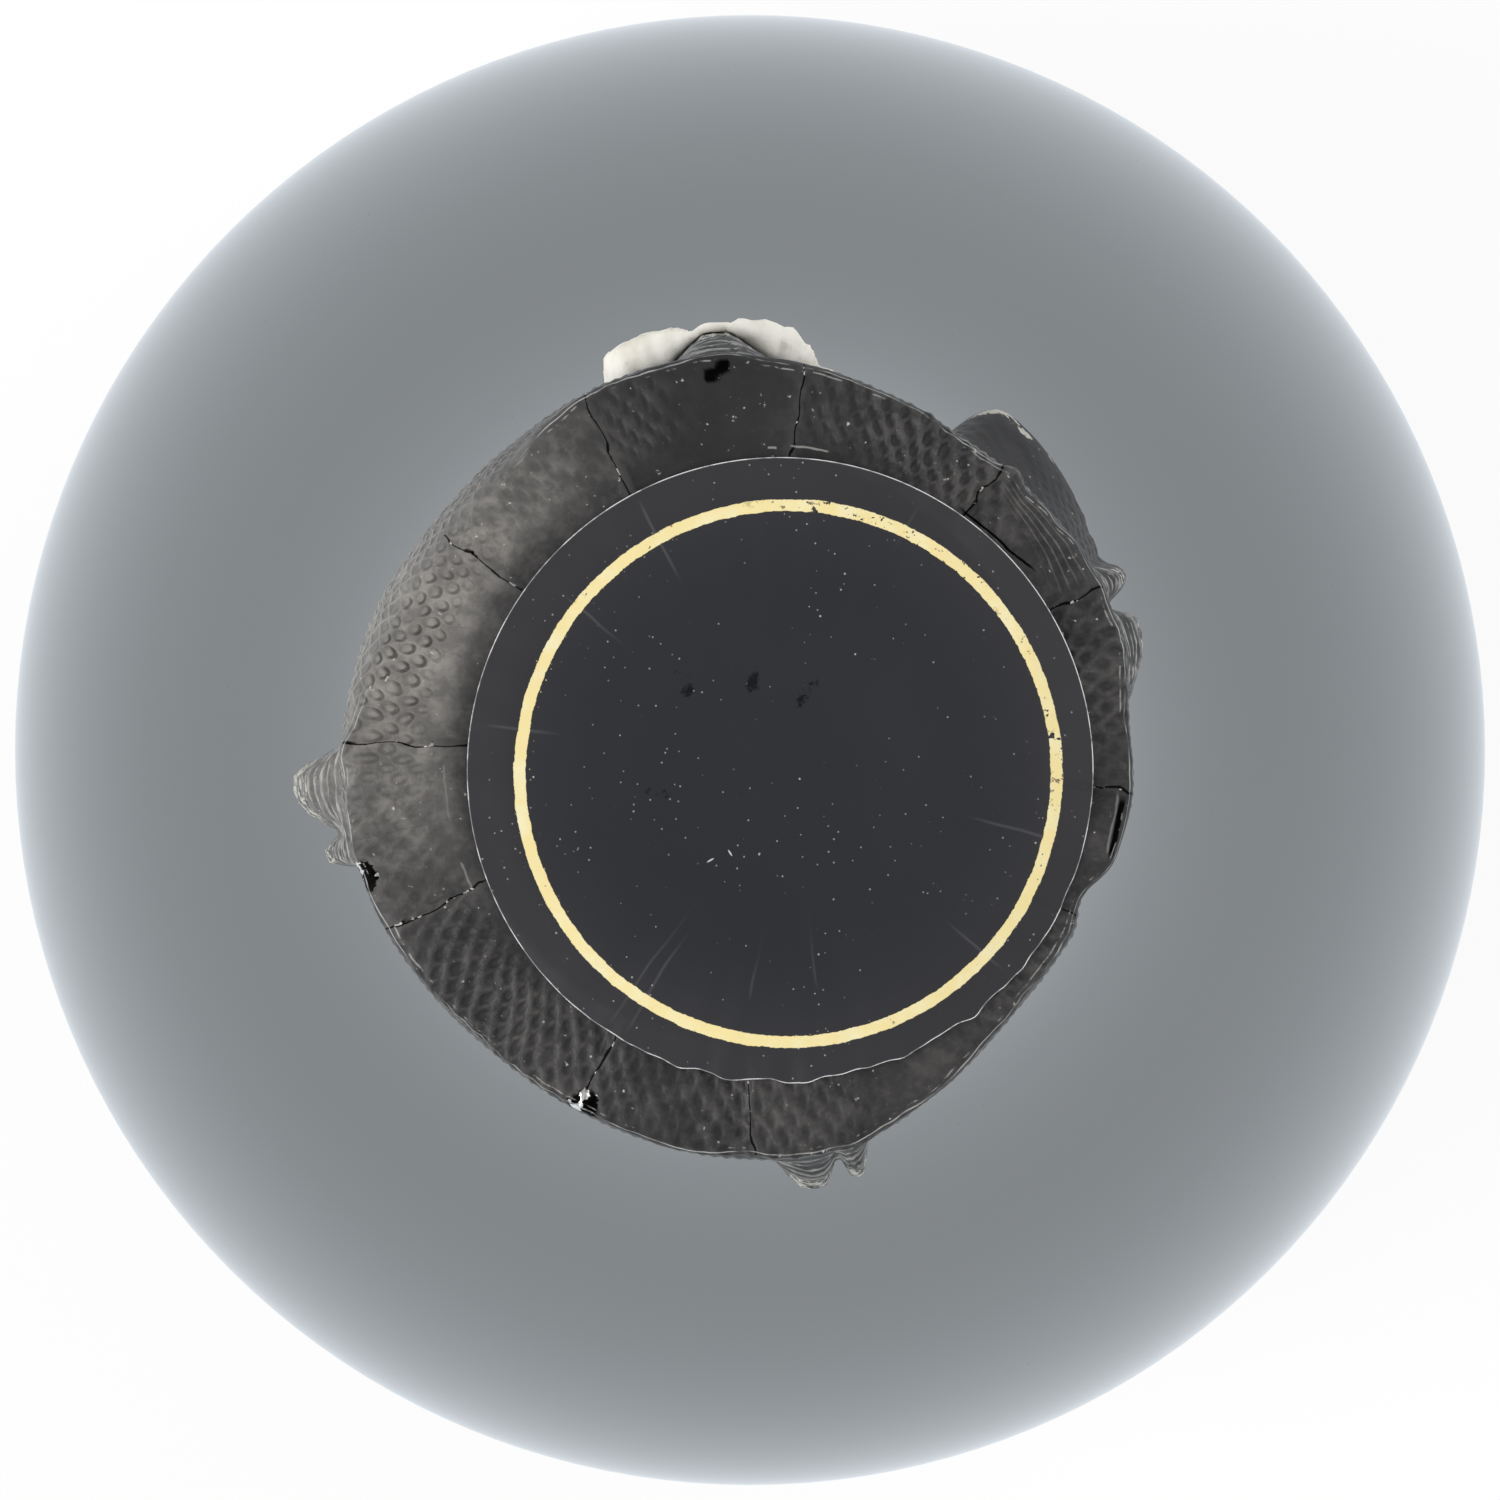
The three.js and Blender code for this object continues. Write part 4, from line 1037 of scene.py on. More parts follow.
class BOTTLE_OT_cork(bpy.types.Operator):
    """Turns the mushroom cork and the two natural discs at its wine end"""

    bl_idname = "bottle.cork"
    bl_label = "Cork"

    def execute(self, context):
        cork = context.scene.sparkling_bottle.cork
        lip = context.scene.sparkling_bottle.glass.height
        stem, head, crown = cork.stem_radius, cork.head_radius, 13.9 * MM
        bottom, mouth = lip - 12.7 * MM, lip + 0.3 * MM
        bulge, rim = lip + 8.9 * MM, lip + 17.2 * MM
        edge, top = lip + 19.4 * MM, lip + 20.5 * MM
        body = joined(
            [(0, bottom)],
            straight((stem, bottom), (stem, mouth), 14),
            sweep((stem, mouth), (stem, mouth + 2 * MM), (head, mouth + 2 * MM), (head, bulge), 16),
            bend((head, bulge), (head, rim), (crown, rim), 12),
            straight((crown, rim), (crown, edge - 0.4 * MM), 2),
            bend((crown, edge - 0.4 * MM), (crown, edge), (crown - 0.4 * MM, edge), 3),
            straight((11.7 * MM, edge), (9.9 * MM, top), 3),
            straight((9.9 * MM, top), (0, top), 8),
        )
        bm = spun(body, 96)
        roughen(bm, 0.05 * MM, 900)
        obj = piece(bm, "cork_granules", [pressed_cork(cork)], sharp=45)
        stands_for(obj, "cork_body", "cork")
        natural = natural_cork(cork)
        discs = (
            ("cork_disc_wine_end", "cork_wine_end_disc", lip - 24 * MM, 0.8 * MM),
            ("cork_disc_inner", "cork_inner_disc", lip - 18.35 * MM, 0.1 * MM),
        )
        for name, node, bottom, chamfer in discs:
            high = bottom + 5.5 * MM
            outline = joined(
                straight((0, bottom), (stem - chamfer, bottom), 8),
                straight((stem, bottom + chamfer), (stem, high - 0.1 * MM), 6),
                straight((stem - 0.1 * MM, high), (0, high), 8),
            )
            bm = spun(outline, 96)
            roughen(bm, 0.04 * MM, 1100)
            stands_for(piece(bm, name, [natural], sharp=45), node, "cork")
        return {"FINISHED"}


# Wire muzzle

LEG_RADIUS = 16.675 * MM
LEG_TOP = 321.075 * MM
HEAD_RING = 320.875 * MM
CAP_GROOVE = 12.8 * MM
BELT_HEIGHT = 275.825 * MM
EYE_RADIUS = 1.4 * MM
EYE_REACH = 15.075 * MM
STRAND = 0.7 * MM
TAIL_RADIUS = 16.675 * MM
TAIL_STRAND = 0.85 * MM
LOOP_WIDTH, LOOP_HEIGHT = 7.6 * MM, 9 * MM


def leg_points(angle, pitch, wall_top):
    """One leg's wire: down one strand, round the belt and up the other."""
    foot = BELT_HEIGHT + EYE_RADIUS + 0.95 * MM
    turns = max(1, round((wall_top - foot) / pitch))
    steps = turns * 10
    over = (
        (14.1 * MM, LEG_TOP),
        (15.64 * MM, LEG_TOP - 0.65 * MM),
        (LEG_RADIUS - 0.24 * MM, LEG_TOP - 2.5 * MM),
    )

    def strand(side):
        points = [around(angle, r, z, -side * STRAND) for r, z in over]
        for i in range(steps + 1):
            phase = 2 * math.pi * turns * i / steps
            r = LEG_RADIUS + side * STRAND * math.sin(phase)
            z = between(wall_top, foot, i / steps)
            points.append(around(angle, r, z, -side * STRAND * math.cos(phase)))
        return points

    wrap = []
    for i in range(9):
        turn = -1.5 * math.pi * i / 8
        r, z = EYE_REACH + EYE_RADIUS * math.cos(turn), BELT_HEIGHT + EYE_RADIUS * math.sin(turn)
        wrap.append(around(angle, r, z, between(-STRAND, STRAND, i / 8)))
    return strand(1) + wrap + strand(-1)[::-1]


class BOTTLE_OT_cap(bpy.types.Operator):
    """Turns the stamped metal cap that the wire presses into the cork"""

    bl_idname = "bottle.cap"
    bl_label = "Muzzle cap"

    def execute(self, context):
        muzzle = context.scene.sparkling_bottle.muzzle
        panel, groove, rim = 321.2 * MM, 320.1 * MM, 317.5 * MM
        outer, inner = 14.6 * MM, 14.2 * MM
        sheet = 0.4 * MM
        under, low = panel - sheet, groove - sheet
        outline = joined(
            straight((0, under), (9.9 * MM, under), 6),
            bend((9.9 * MM, under), (10.6 * MM, under), (12.05 * MM, low), 5),
            straight((12.05 * MM, low), (13.8 * MM, low), 3),
            bend((13.8 * MM, low), (inner, low), (inner, low - sheet), 4),
            straight((inner, low - sheet), (inner, rim), 3),
            bend((14.5 * MM, rim), (14.62 * MM, rim), (outer, rim + 0.3 * MM), 4),
            straight((outer, rim + 0.3 * MM), (outer, low), 4),
            bend((outer, low), (14.5 * MM, groove + 0.3 * MM), (14.0 * MM, groove + 0.2 * MM), 8),
            bend((14.0 * MM, groove + 0.2 * MM), (13.5 * MM, groove), (13.2 * MM, groove), 5),
            bend((12.4 * MM, groove), (11.6 * MM, groove), (11.0 * MM, under), 6),
            bend((11.0 * MM, under), (10.7 * MM, panel), (10.2 * MM, panel), 6),
            straight((10.2 * MM, panel), (0, panel), 12),
        )
        obj = piece(spun(outline, 120), "cap_plate", [stamped_tin(muzzle)], sharp=50)
        stands_for(obj, "muzzle_cap", "muzzle")
        return {"FINISHED"}


class BOTTLE_OT_muzzle(bpy.types.Operator):
    """Bends the wire cage, its belt and the twisted loop"""

    bl_idname = "bottle.muzzle"
    bl_label = "Wire muzzle"

    def execute(self, context):
        settings = context.scene.sparkling_bottle
        muzzle = settings.muzzle
        steel = galvanised(muzzle)
        cage = wire("cage_wires", self.cage(muzzle, settings.foil.wall_top), muzzle.cage_wire, steel)
        stands_for(cage, "muzzle_cage_wire", "muzzle")
        belt = wire("belt_wire", self.belt(), muzzle.belt_wire, steel, 3)
        stands_for(belt, "muzzle_belt_wire", "muzzle")
        loop = wire("loop_wire", self.loop(muzzle), muzzle.belt_wire, steel, 3)
        stands_for(loop, "muzzle_twist_loop", "loop")
        return {"FINISHED"}

    @staticmethod
    def cage(muzzle, wall_top):
        leave = math.degrees(2.6 * MM / CAP_GROOVE)
        gap = math.degrees(2 * muzzle.cage_wire / CAP_GROOVE)
        points = []

        def arc(start, end):
            return [around(between(start, end, k / 6), CAP_GROOVE, HEAD_RING) for k in range(7)]

        for i, angle in enumerate(LEGS):
            before = LEGS[i - 1] - (360 if i == 0 else 0)
            after = LEGS[(i + 1) % len(LEGS)] + (360 if i + 1 == len(LEGS) else 0)
            points += arc((before + angle + gap) / 2, angle - leave)
            points += leg_points(angle, muzzle.twist_pitch, wall_top)
            points += arc(angle + leave, (angle + after - gap) / 2)
        return points

    @staticmethod
    def belt():
        hug, end = 13.825 * MM, 15.05 * MM
        half = math.degrees(TAIL_STRAND / TAIL_RADIUS)
        points = []
        for i in range(121):
            angle = between(LOOP_ANGLE + half, LOOP_ANGLE + 360 - half, i / 120)
            to_eye = (EYE_REACH - hug) * ridge(from_leg(angle), 22)
            to_tail = (end - hug) * facing(angle, LOOP_ANGLE, 14)
            points.append(around(angle, hug + max(to_eye, to_tail), BELT_HEIGHT))
        return points

    @staticmethod
    def loop(muzzle):
        wire_width = muzzle.belt_wire
        turns = 1.5
        root = BELT_HEIGHT + wire_width
        eye = root + turns * muzzle.twist_pitch

        def strand(side):
            points = [around(LOOP_ANGLE, 16.125 * MM, BELT_HEIGHT, side * TAIL_STRAND)]
            for i in range(16):
                phase = 2 * math.pi * turns * i / 15
                r = TAIL_RADIUS + side * TAIL_STRAND * math.sin(phase)
                sideways = side * TAIL_STRAND * math.cos(phase)
                points.append(around(LOOP_ANGLE, r, between(root, eye, i / 15), sideways))
            return points

        ring = []
        for i in range(13):
            turn = math.pi * between(-0.3, 1.3, i / 12)
            sideways = -(LOOP_WIDTH - wire_width) * math.cos(turn) / 2
            z = eye + (LOOP_HEIGHT - wire_width) / 2 * (1 + math.sin(turn))
            ring.append(around(LOOP_ANGLE, TAIL_RADIUS, z, sideways))
        return strand(1) + ring + strand(-1)[::-1]


# Foil capsule

class CapsuleForm:
    """Where the outer face of the foil lies: radius and height for an angle round the neck."""

    ROWS_TOP = 3
    ROWS_UPPER = 28
    ROWS_WALL = 108

    def __init__(self, foil):
        self.foil = foil
        self.known = {}
        self.guides = {}
        self.slope_end = self.ROWS_TOP + self.ROWS_UPPER
        self.rows = self.slope_end + self.ROWS_WALL

    def fold_height(self, angle):
        """Each fold is highest at its edge and level with the next one at its far end."""
        turn = (angle - FOLDS[0]) % 360 + FOLDS[0]
        fold = max(f for f in FOLDS if f <= turn)
        after = min((f for f in FOLDS if f > turn), default=FOLDS[0] + 360)
        return self.foil.fold_step * (1 - (turn - fold) / (after - fold))

    @staticmethod
    def roundness(angle):
        """1 where the top rolls softly into the wall, 0 where it is creased."""
        return facing(angle, *ROUND_SIDE)

    def shares(self, angle):
        """Plain radius of the wall at an angle, the ridge over a leg and how full the bulge is."""
        if angle not in self.known:
            lean = LEAN * (1 + math.cos(math.radians(angle - LEAN_ANGLE)))
            dip = HOLLOW * (1 - ridge(from_leg(angle), HOLLOW_HALF))
            dip += sum(deep * facing(angle, at, half) for at, deep, half in FLATS)
            over = max(self.swell(angle, *sizes) for sizes in RIDGES)
            self.known[angle] = (self.foil.wall_radius + lean - dip, over, self.bulge(angle))
        return self.known[angle]

    @staticmethod
    def swell(angle, at, high, before, after):
        """Height of one ridge at an angle."""
        away = apart(angle, at)
        return high * (1 - soft(0.1, 1.0, abs(away) / (before if away < 0 else after)))

    @staticmethod
    def bulge(angle):
        """How full the hood is over the loop: steep on one side and easing out on the other."""
        away = apart(angle, BULGE_ANGLE)
        if away > 0:
            return max(0.0, 1 - max(0.0, (away - BULGE_CREST) / BULGE_STEEP) ** 2) ** 0.75
        return math.cos(math.pi / 2 * max(-BULGE_EASE, away) / BULGE_EASE)

    def wall(self, angle, z):
        """Radius of the wall: leaning, flat between the legs, and raised over them and over the loop."""
        base, over, bulge = self.shares(angle)
        down = self.foil.wall_top - z
        plain = base + over * soft(RIDGE_START, RIDGE_FULL, down)
        return plain + max(0.0, BULGE_RADIUS - plain) * bulge * soft(BULGE_START, BULGE_FULL, down)

    def rim(self, angle):
        """Where the gathered top turns down into the wall."""
        rolled = self.roundness(angle)
        r = self.wall(angle, self.foil.wall_top) - (0.08 + 0.75 * rolled) * MM + self.swell(angle, *RIM_SWELL)
        return Vector((r, self.foil.top + 0.5 * self.fold_height(angle) - between(0.75, 0.55, rolled) * MM))

    def guide(self, angle):
        """Height of the top, even points from there to the wall's start, and the rim's place on them."""
        if angle not in self.guides:
            z = self.foil.top + self.fold_height(angle)
            rim = self.rim(angle)
            start = Vector((SLOPE_RADIUS, z))
            wall = Vector((self.wall(angle, self.foil.wall_top), self.foil.wall_top))
            ease = between(0.36, 2.7, self.roundness(angle)) * MM
            before = rim + (start - rim).normalized() * ease
            behind = rim + (wall - rim).normalized() * ease * 1.4
            path = joined(
                straight(start, before, 16), bend(before, rim, behind, 24), straight(behind, wall, 16)
            )
            self.guides[angle] = (z, even(path, self.ROWS_UPPER), (before - start).length + 0.8 * ease)
        return self.guides[angle]

    def point(self, angle, row):
        """Radius and height of a row, counted from the hole under the disc down to the tear line."""
        if row >= self.slope_end:
            z = between(self.foil.wall_top, self.foil.tear, (row - self.slope_end) / self.ROWS_WALL)
            return Vector((self.wall(angle, z), z))
        z, upper, _ = self.guide(angle)
        if row <= self.ROWS_TOP:
            return Vector((between(HOLE_RADIUS, upper[0].x, row / self.ROWS_TOP), z))
        low = int(row - self.ROWS_TOP)
        return upper[low].lerp(upper[low + 1], row - self.ROWS_TOP - low)

    def from_rim(self, angle, row):
        """Distance along the foil from the rim's crease, in millimetres."""
        _, upper, rim = self.guide(angle)
        step = (upper[-1] - upper[-2]).length
        return ((row - self.ROWS_TOP) * step - rim) / MM

    def below_slope(self, row):
        """Distance down the wall, in millimetres."""
        return (row - self.slope_end) * WALL_ROW_MM

    def skirt(self, angle, z, neck):
        """Radius of the skirt, gathered from the torn edge onto the neck and lapped there in pleats."""
        gathered = soft(0, 20 * MM, self.foil.skirt_top - z)
        pleat = 0.9 * MM * max(facing(angle, leg, 13) for leg in LEGS)
        count = angle * 11 / 360 + 0.8 * math.sin(math.radians(angle * 3))
        lap = 0.30 * MM * (1 - count % 1.0) * gathered
        on_neck = neck + 0.6 * MM + pleat + lap
        return between(self.wall(angle, self.foil.tear), on_neck, gathered)

    def cover(self, angle, radius):
        """Height of the hood's top under the disc, without the steps of the folds."""
        rim = self.rim(angle)
        level = self.foil.top + self.foil.fold_step
        return level - max(0.0, radius - SLOPE_RADIUS) * (level - rim.y - 0.1 * MM) / (rim.x - SLOPE_RADIUS)


def crumpled(form, angle, row, at):
    """How far the foil is pressed in or out by hand at a point, along its outward normal."""
    big = noise.noise(at * 190) * soft(5, 20, row)
    small = (0.5 - abs(noise.noise(at * 420 + Vector((3.1, 1.7, 0.4))))) * 0.6 * soft(4, 12, row)
    beside_leg = ridge(from_leg(angle) - 16, 12) * soft(24, 50, row)
    upright = math.sin(math.radians(angle) * 74) * beside_leg * 0.35
    moved = form.foil.crumple * (big * 0.8 + small + upright)
    crushed = facing(angle, *CRUSHED_SIDE) * soft(10, 13, row) * (1 - soft(18, 22, row))
    moved += crushed * MM * (0.20 * noise.noise(at * 650) + 0.12 * noise.noise(at * 1300))
    count, level = creases(form, angle, row)
    return moved + dents(angle, row) + 0.16 * MM * level * math.cos(2 * math.pi * count)


def dents(angle, row):
    """How far the larger dents push the foil in or out."""
    moved = 0.0
    for dent_angle, dent_row, size, push in DENTS:
        aside = math.radians(apart(angle, dent_angle)) * DENT_REACH_MM
        down = (row - dent_row) * ROW_MM
        reach = (aside * aside + down * down) / (size * size)
        if reach < 9:
            moved += push * MM * math.exp(-reach)
    return moved


def spot_distance(spots, angle, row):
    """Distance in millimetres from the edge of the nearest spot."""
    nearest = FAR
    for spot_angle, spot_row, size in spots:
        aside = math.radians(apart(angle, spot_angle)) * SPOT_REACH_MM
        nearest = min(nearest, math.hypot(aside, (row - spot_row) * ROW_MM) - size)
    return nearest


def far_kept(distance):
    """A signed distance, pushed well away where it is not small, so that it only crosses zero on its line."""
    return distance if abs(distance) < 0.7 else math.copysign(FAR, distance)


def creases(form, angle, row):
    """Count of the fine gathers, one more at each line, and how strong they are at a point of the hood."""
    if row < form.slope_end:
        return pleats(form, angle, row)
    down = form.below_slope(row)
    wander = noise.noise(Vector((angle * 0.16, 0.3, 2.2)))
    wander += 0.5 * noise.noise(Vector((angle * 0.5, down * 0.3, 1.1)))
    raised = soft(0.25, 0.9, form.shares(angle)[1] / MM)
    return down / 1.7 + 0.5 * wander, raised * soft(0.3, 1.2, down) * (1 - soft(8.2, 9.6, down))


def pleats(form, angle, row):
    """The gathers beside the rim, counted inward: they draw together at one end and are weaker."""
    share_round = apart(angle, PLEAT_START) / (PLEAT_END - PLEAT_START)
    spread = between(0.46, 0.15, share_round)
    level = 0.30 * soft(0.0, 0.10, share_round) * (1 - soft(0.92, 1.0, share_round))
    inward = -form.from_rim(angle, row)
    level *= soft(0.0, 0.15, inward) * (1 - soft(spread * 3.8, spread * 5.2, inward))
    return inward / spread, level


def worn(form, angle, row):
    """How far the lacquer is rubbed pale, on the outer edges of the ridges and in spots on the bulge."""
    down = form.below_slope(row)
    crest = soft(0.8, 1.6, form.shares(angle)[1] / MM) * soft(7.5, 12.0, down) * (1 - soft(13.0, 24.0, down))
    return max(0.52 * crest, 1 - soft(-0.25, 0.20, spot_distance(RUBS, angle, row)))


# Values that the foil's finish reads at each vertex, with what each is where a piece doesn't say.
MARKS = {
    "fold_away": FAR,
    "rim_away": FAR,
    "rim_level": 1.0,
    "tear_away": FAR,
    "crease": 0.0,
    "crease_level": 0.0,
    "hollow": 0.0,
    "worn": 0.0,
    "taut": 0.0,
    "sleek": 0.0,
    "netted": 0.0,
    "lined": 0.0,
    "ringed": 0.0,
    "lit": 0.0,
}


def shaped_foil(name, outer, lining_rows, columns, outline, detail, marks, materials):
    """A foil sleeve with a black face and a silver lining.

    outline(angle, row) gives the plain radius and height, detail(angle, row, at) what stands out from it,
    and marks(angle, row, radius) the values that the finish reads at each vertex.
    """
    foil = bpy.context.scene.sparkling_bottle.foil
    rows = [(row, False) for row in range(outer + 1)] + [(row, True) for row in lining_rows]
    bm = bmesh.new()
    for key in MARKS:
        bm.verts.layers.float.new(key)
    layers = dict(bm.verts.layers.float.items())
    uv = bm.loops.layers.uv.new("emboss")
    made = bmesh.ops.create_grid(bm, x_segments=columns, y_segments=len(rows), size=1.0)
    place = {}
    for vert in made["verts"]:
        column = round((1 + vert.co.x) / 2 * columns)
        row, inner = rows[round((1 + vert.co.y) / 2 * len(rows)) % len(rows)]
        place[vert] = (column, row, inner)
        angle = column % columns * 360 / columns
        here = outline(angle, row)
        step = outline(angle, min(row + 0.5, outer)) - outline(angle, max(row - 0.5, 0))
        normal = Vector((-step.y, step.x)).normalized()
        values = {**MARKS, **marks(angle, row, here.x)}
        out = detail(angle, row, around(angle, here.x, here.y))
        if inner:
            out -= foil.lining
        else:
            wave = math.cos(math.pi / 2 * column) * math.cos(math.pi / 2 * row)
            out -= foil.relief * max(values["netted"], values["ringed"]) * wave
        here = here + normal * out
        vert.co = around(angle, here.x, here.y)
        for key, layer in layers.items():
            vert[layer] = values[key]
    for face in bm.faces:
        face.material_index = 1 if any(place[loop.vert][2] for loop in face.loops) else 0
        for loop in face.loops:
            column, row, _ = place[loop.vert]
            loop[uv].uv = (column / 4, row / 4)
    return piece(cleaned(bm), name, materials)


class BOTTLE_OT_hood(bpy.types.Operator):
    """Shapes the upper foil: folded top, rim, ridges over the wire legs and the bulge over the loop"""

    bl_idname = "bottle.hood"
    bl_label = "Foil hood"

    def execute(self, context):
        foil = context.scene.sparkling_bottle.foil
        form = CapsuleForm(foil)

        def detail(angle, row, at):
            return crumpled(form, angle, row, at) if 0 < row < form.rows else 0.0

        def marks(angle, row, radius):
            wobble = 0.32 * noise.noise(Vector((angle * 0.7, row * 0.33, 4.2)))
            nearest_fold = min((apart(angle, f) for f in FOLDS), key=abs)
            fold = math.radians(nearest_fold) * radius / MM + wobble
            bulge = form.shares(angle)[2]
            count, level = creases(form, angle, row)
            full = bulge * soft(30, 52, row)
            plain = (1 - 0.95 * full) * (1 - 0.8 * level)
            shown = max(strength * facing(angle, at, half) for at, strength, half in NETS)
            # The side where painted reflected light and painted highlight lines go.
            pale = facing(angle, *SHEEN_SIDE)
            lined = between(0.15, 1.0, pale) * soft(15, 20, row) * (1 - 0.6 * soft(40, 60, row))
            return {
                "fold_away": far_kept(fold) if row < 18 else FAR,
                "rim_away": form.from_rim(angle, row),
                "rim_level": 1 - soft(0.3, 0.7, form.roundness(angle)),
                "tear_away": spot_distance(TEARS, angle, row),
                "crease": count,
                "crease_level": level,
                "hollow": 1 - soft(-0.12, 0.10, spot_distance(HOLES, angle, row)),
                "worn": worn(form, angle, row),
                "taut": full,
                "sleek": 0.85 * facing(angle, *SLEEK_SIDE) * (1 - soft(18, 24, row)),
                "netted": between(shown * soft(4, 8, row), 0.9, soft(16, 22, row)) * plain,
                "lined": lined * plain,
                "ringed": facing(angle, *RINGED_SIDE) * soft(6, 9, row) * (1 - soft(15, 18, row)),
                "lit": pale * soft(1, 8, row),
            }

        lining_rows = [*range(form.rows, form.slope_end, -6), *range(form.slope_end, 7, -2), 3, 0]
        obj = shaped_foil(
            "capsule_hood", form.rows, lining_rows, foil.dimples * 4, form.point, detail, marks,
            [embossed_foil(foil), foil_lining(foil)],
        )
        stands_for(obj, "foil_hood", "hood")
        return {"FINISHED"}


class BOTTLE_OT_skirt(bpy.types.Operator):
    """Shapes the lower foil that is gathered onto the neck in pleats"""

    bl_idname = "bottle.skirt"
    bl_label = "Foil skirt"

    def execute(self, context):
        settings = context.scene.sparkling_bottle
        foil = settings.foil
        form = CapsuleForm(foil)
        count = round((foil.skirt_top - foil.skirt_bottom) / (SKIRT_ROW_MM * MM))
        bottom, top = foil.skirt_bottom - 10 * MM, foil.tear + 5 * MM
        profile = [p for p in glass_outside(settings.glass) if bottom < p.y < top]
        profile.sort(key=lambda p: p.y)

        def neck(z):
            above = next(i for i, p in enumerate(profile) if p.y >= z)
            a, b = profile[max(above - 1, 0)], profile[max(above, 1)]
            return a.x if b.y - a.y < 1e-9 else between(a.x, b.x, (z - a.y) / (b.y - a.y))

        heights = [between(foil.skirt_top, foil.skirt_bottom, row / count) for row in range(count + 1)]
        necks = [neck(z) for z in heights]

        def outline(angle, row):
            low = min(int(row), count - 1)
            share_down = row - low
            z = between(heights[low], heights[low + 1], share_down)
            return Vector((form.skirt(angle, z, between(necks[low], necks[low + 1], share_down)), z))

        def detail(angle, row, at):
            push = foil.crumple * (0.45 + 0.25 * noise.noise(at * 300)) * noise.noise(at * 170)
            return push + foil.crumple * 0.35 * (0.5 - abs(noise.noise(at * 520)))

        def marks(angle, row, radius):
            return {"rim_away": min(row, count - row) * SKIRT_ROW_MM, "netted": 0.9, "lined": 0.25}

        materials = [bpy.data.materials[name] for name in ("foil_pressed", "foil_lining")]
        lining_rows = [*range(count, 0, -4), 0]
        obj = shaped_foil(
            "capsule_skirt", count, lining_rows, foil.dimples * 4, outline, detail, marks, materials
        )
        stands_for(obj, "foil_skirt", "bottle")
        return {"FINISHED"}


class BOTTLE_OT_disc(bpy.types.Operator):
    """Lays the satin disc over the folded top and bends its edge down where it overhangs"""

    bl_idname = "bottle.disc"
    bl_label = "Foil disc"

    def execute(self, context):
        settings = context.scene.sparkling_bottle
        disc = settings.disc
        form = CapsuleForm(settings.foil)
        rings = 64
        sheet = 0.12 * MM
        top = [(disc.radius * i / rings, 0.0) for i in range(rings + 1)]
        bm = spun(joined(top, [(disc.radius * i / 8, -sheet) for i in range(8, -1, -1)]), 432)
        for key in ("from_middle", "from_edge"):
            bm.verts.layers.float.new(key)
        from_middle, from_edge = bm.verts.layers.float.values()
        for vert in bm.verts:
            flat = vert.co.xy
            vert[from_middle] = flat.length
            vert[from_edge] = (disc.radius - flat.length) if vert.co.z > -sheet / 2 else 0.0
            vert.co = self.draped(disc, form, flat, vert.co.z)
        bmesh.ops.recalc_face_normals(bm, faces=bm.faces[:])
        obj = piece(bm, "capsule_disc", [satin_foil(disc)], sharp=60)
        stands_for(obj, "foil_top_disc", "hood")
        return {"FINISHED"}

    @staticmethod
    def draped(disc, form, flat, depth):
        """Place of a point of the disc: flat in the middle, lying on the folds and bent over the rim."""
        swing = math.atan2(flat.y, flat.x)
        frill = facing(math.degrees(swing), *FRILLED_SIDE) * soft(0.86, 1.0, flat.length / disc.radius)
        rim = Vector((math.cos(swing), math.sin(swing), 0.0))
        ripple = 0.26 * noise.noise(rim * 9) + 0.16 * noise.noise(rim * 17 + Vector((5, 2, 1))) - 0.10
        spread = flat + flat.normalized() * (frill * MM * ripple) if flat.length > 0 else flat
        point = Vector((disc.offset_x, disc.offset_y)) + spread
        reach = point.length
        angle = math.degrees(math.atan2(point.y, point.x))
        settled = form.cover(angle, reach) + 0.20 * MM + frill * 0.10 * MM * noise.noise(rim * 14)
        pucker = 0.05 * MM * noise.noise(Vector((point.x * 260, point.y * 260, 0.3)))
        pull = Vector((rim.x * 9, rim.y * 9, flat.length * 90))
        pucker += 0.05 * MM * noise.noise(pull) * soft(6 * MM, 14 * MM, flat.length)
        z = between(disc.level, settled, soft(11 * MM, 14 * MM, reach)) + pucker + depth
        return around(angle, reach, z)


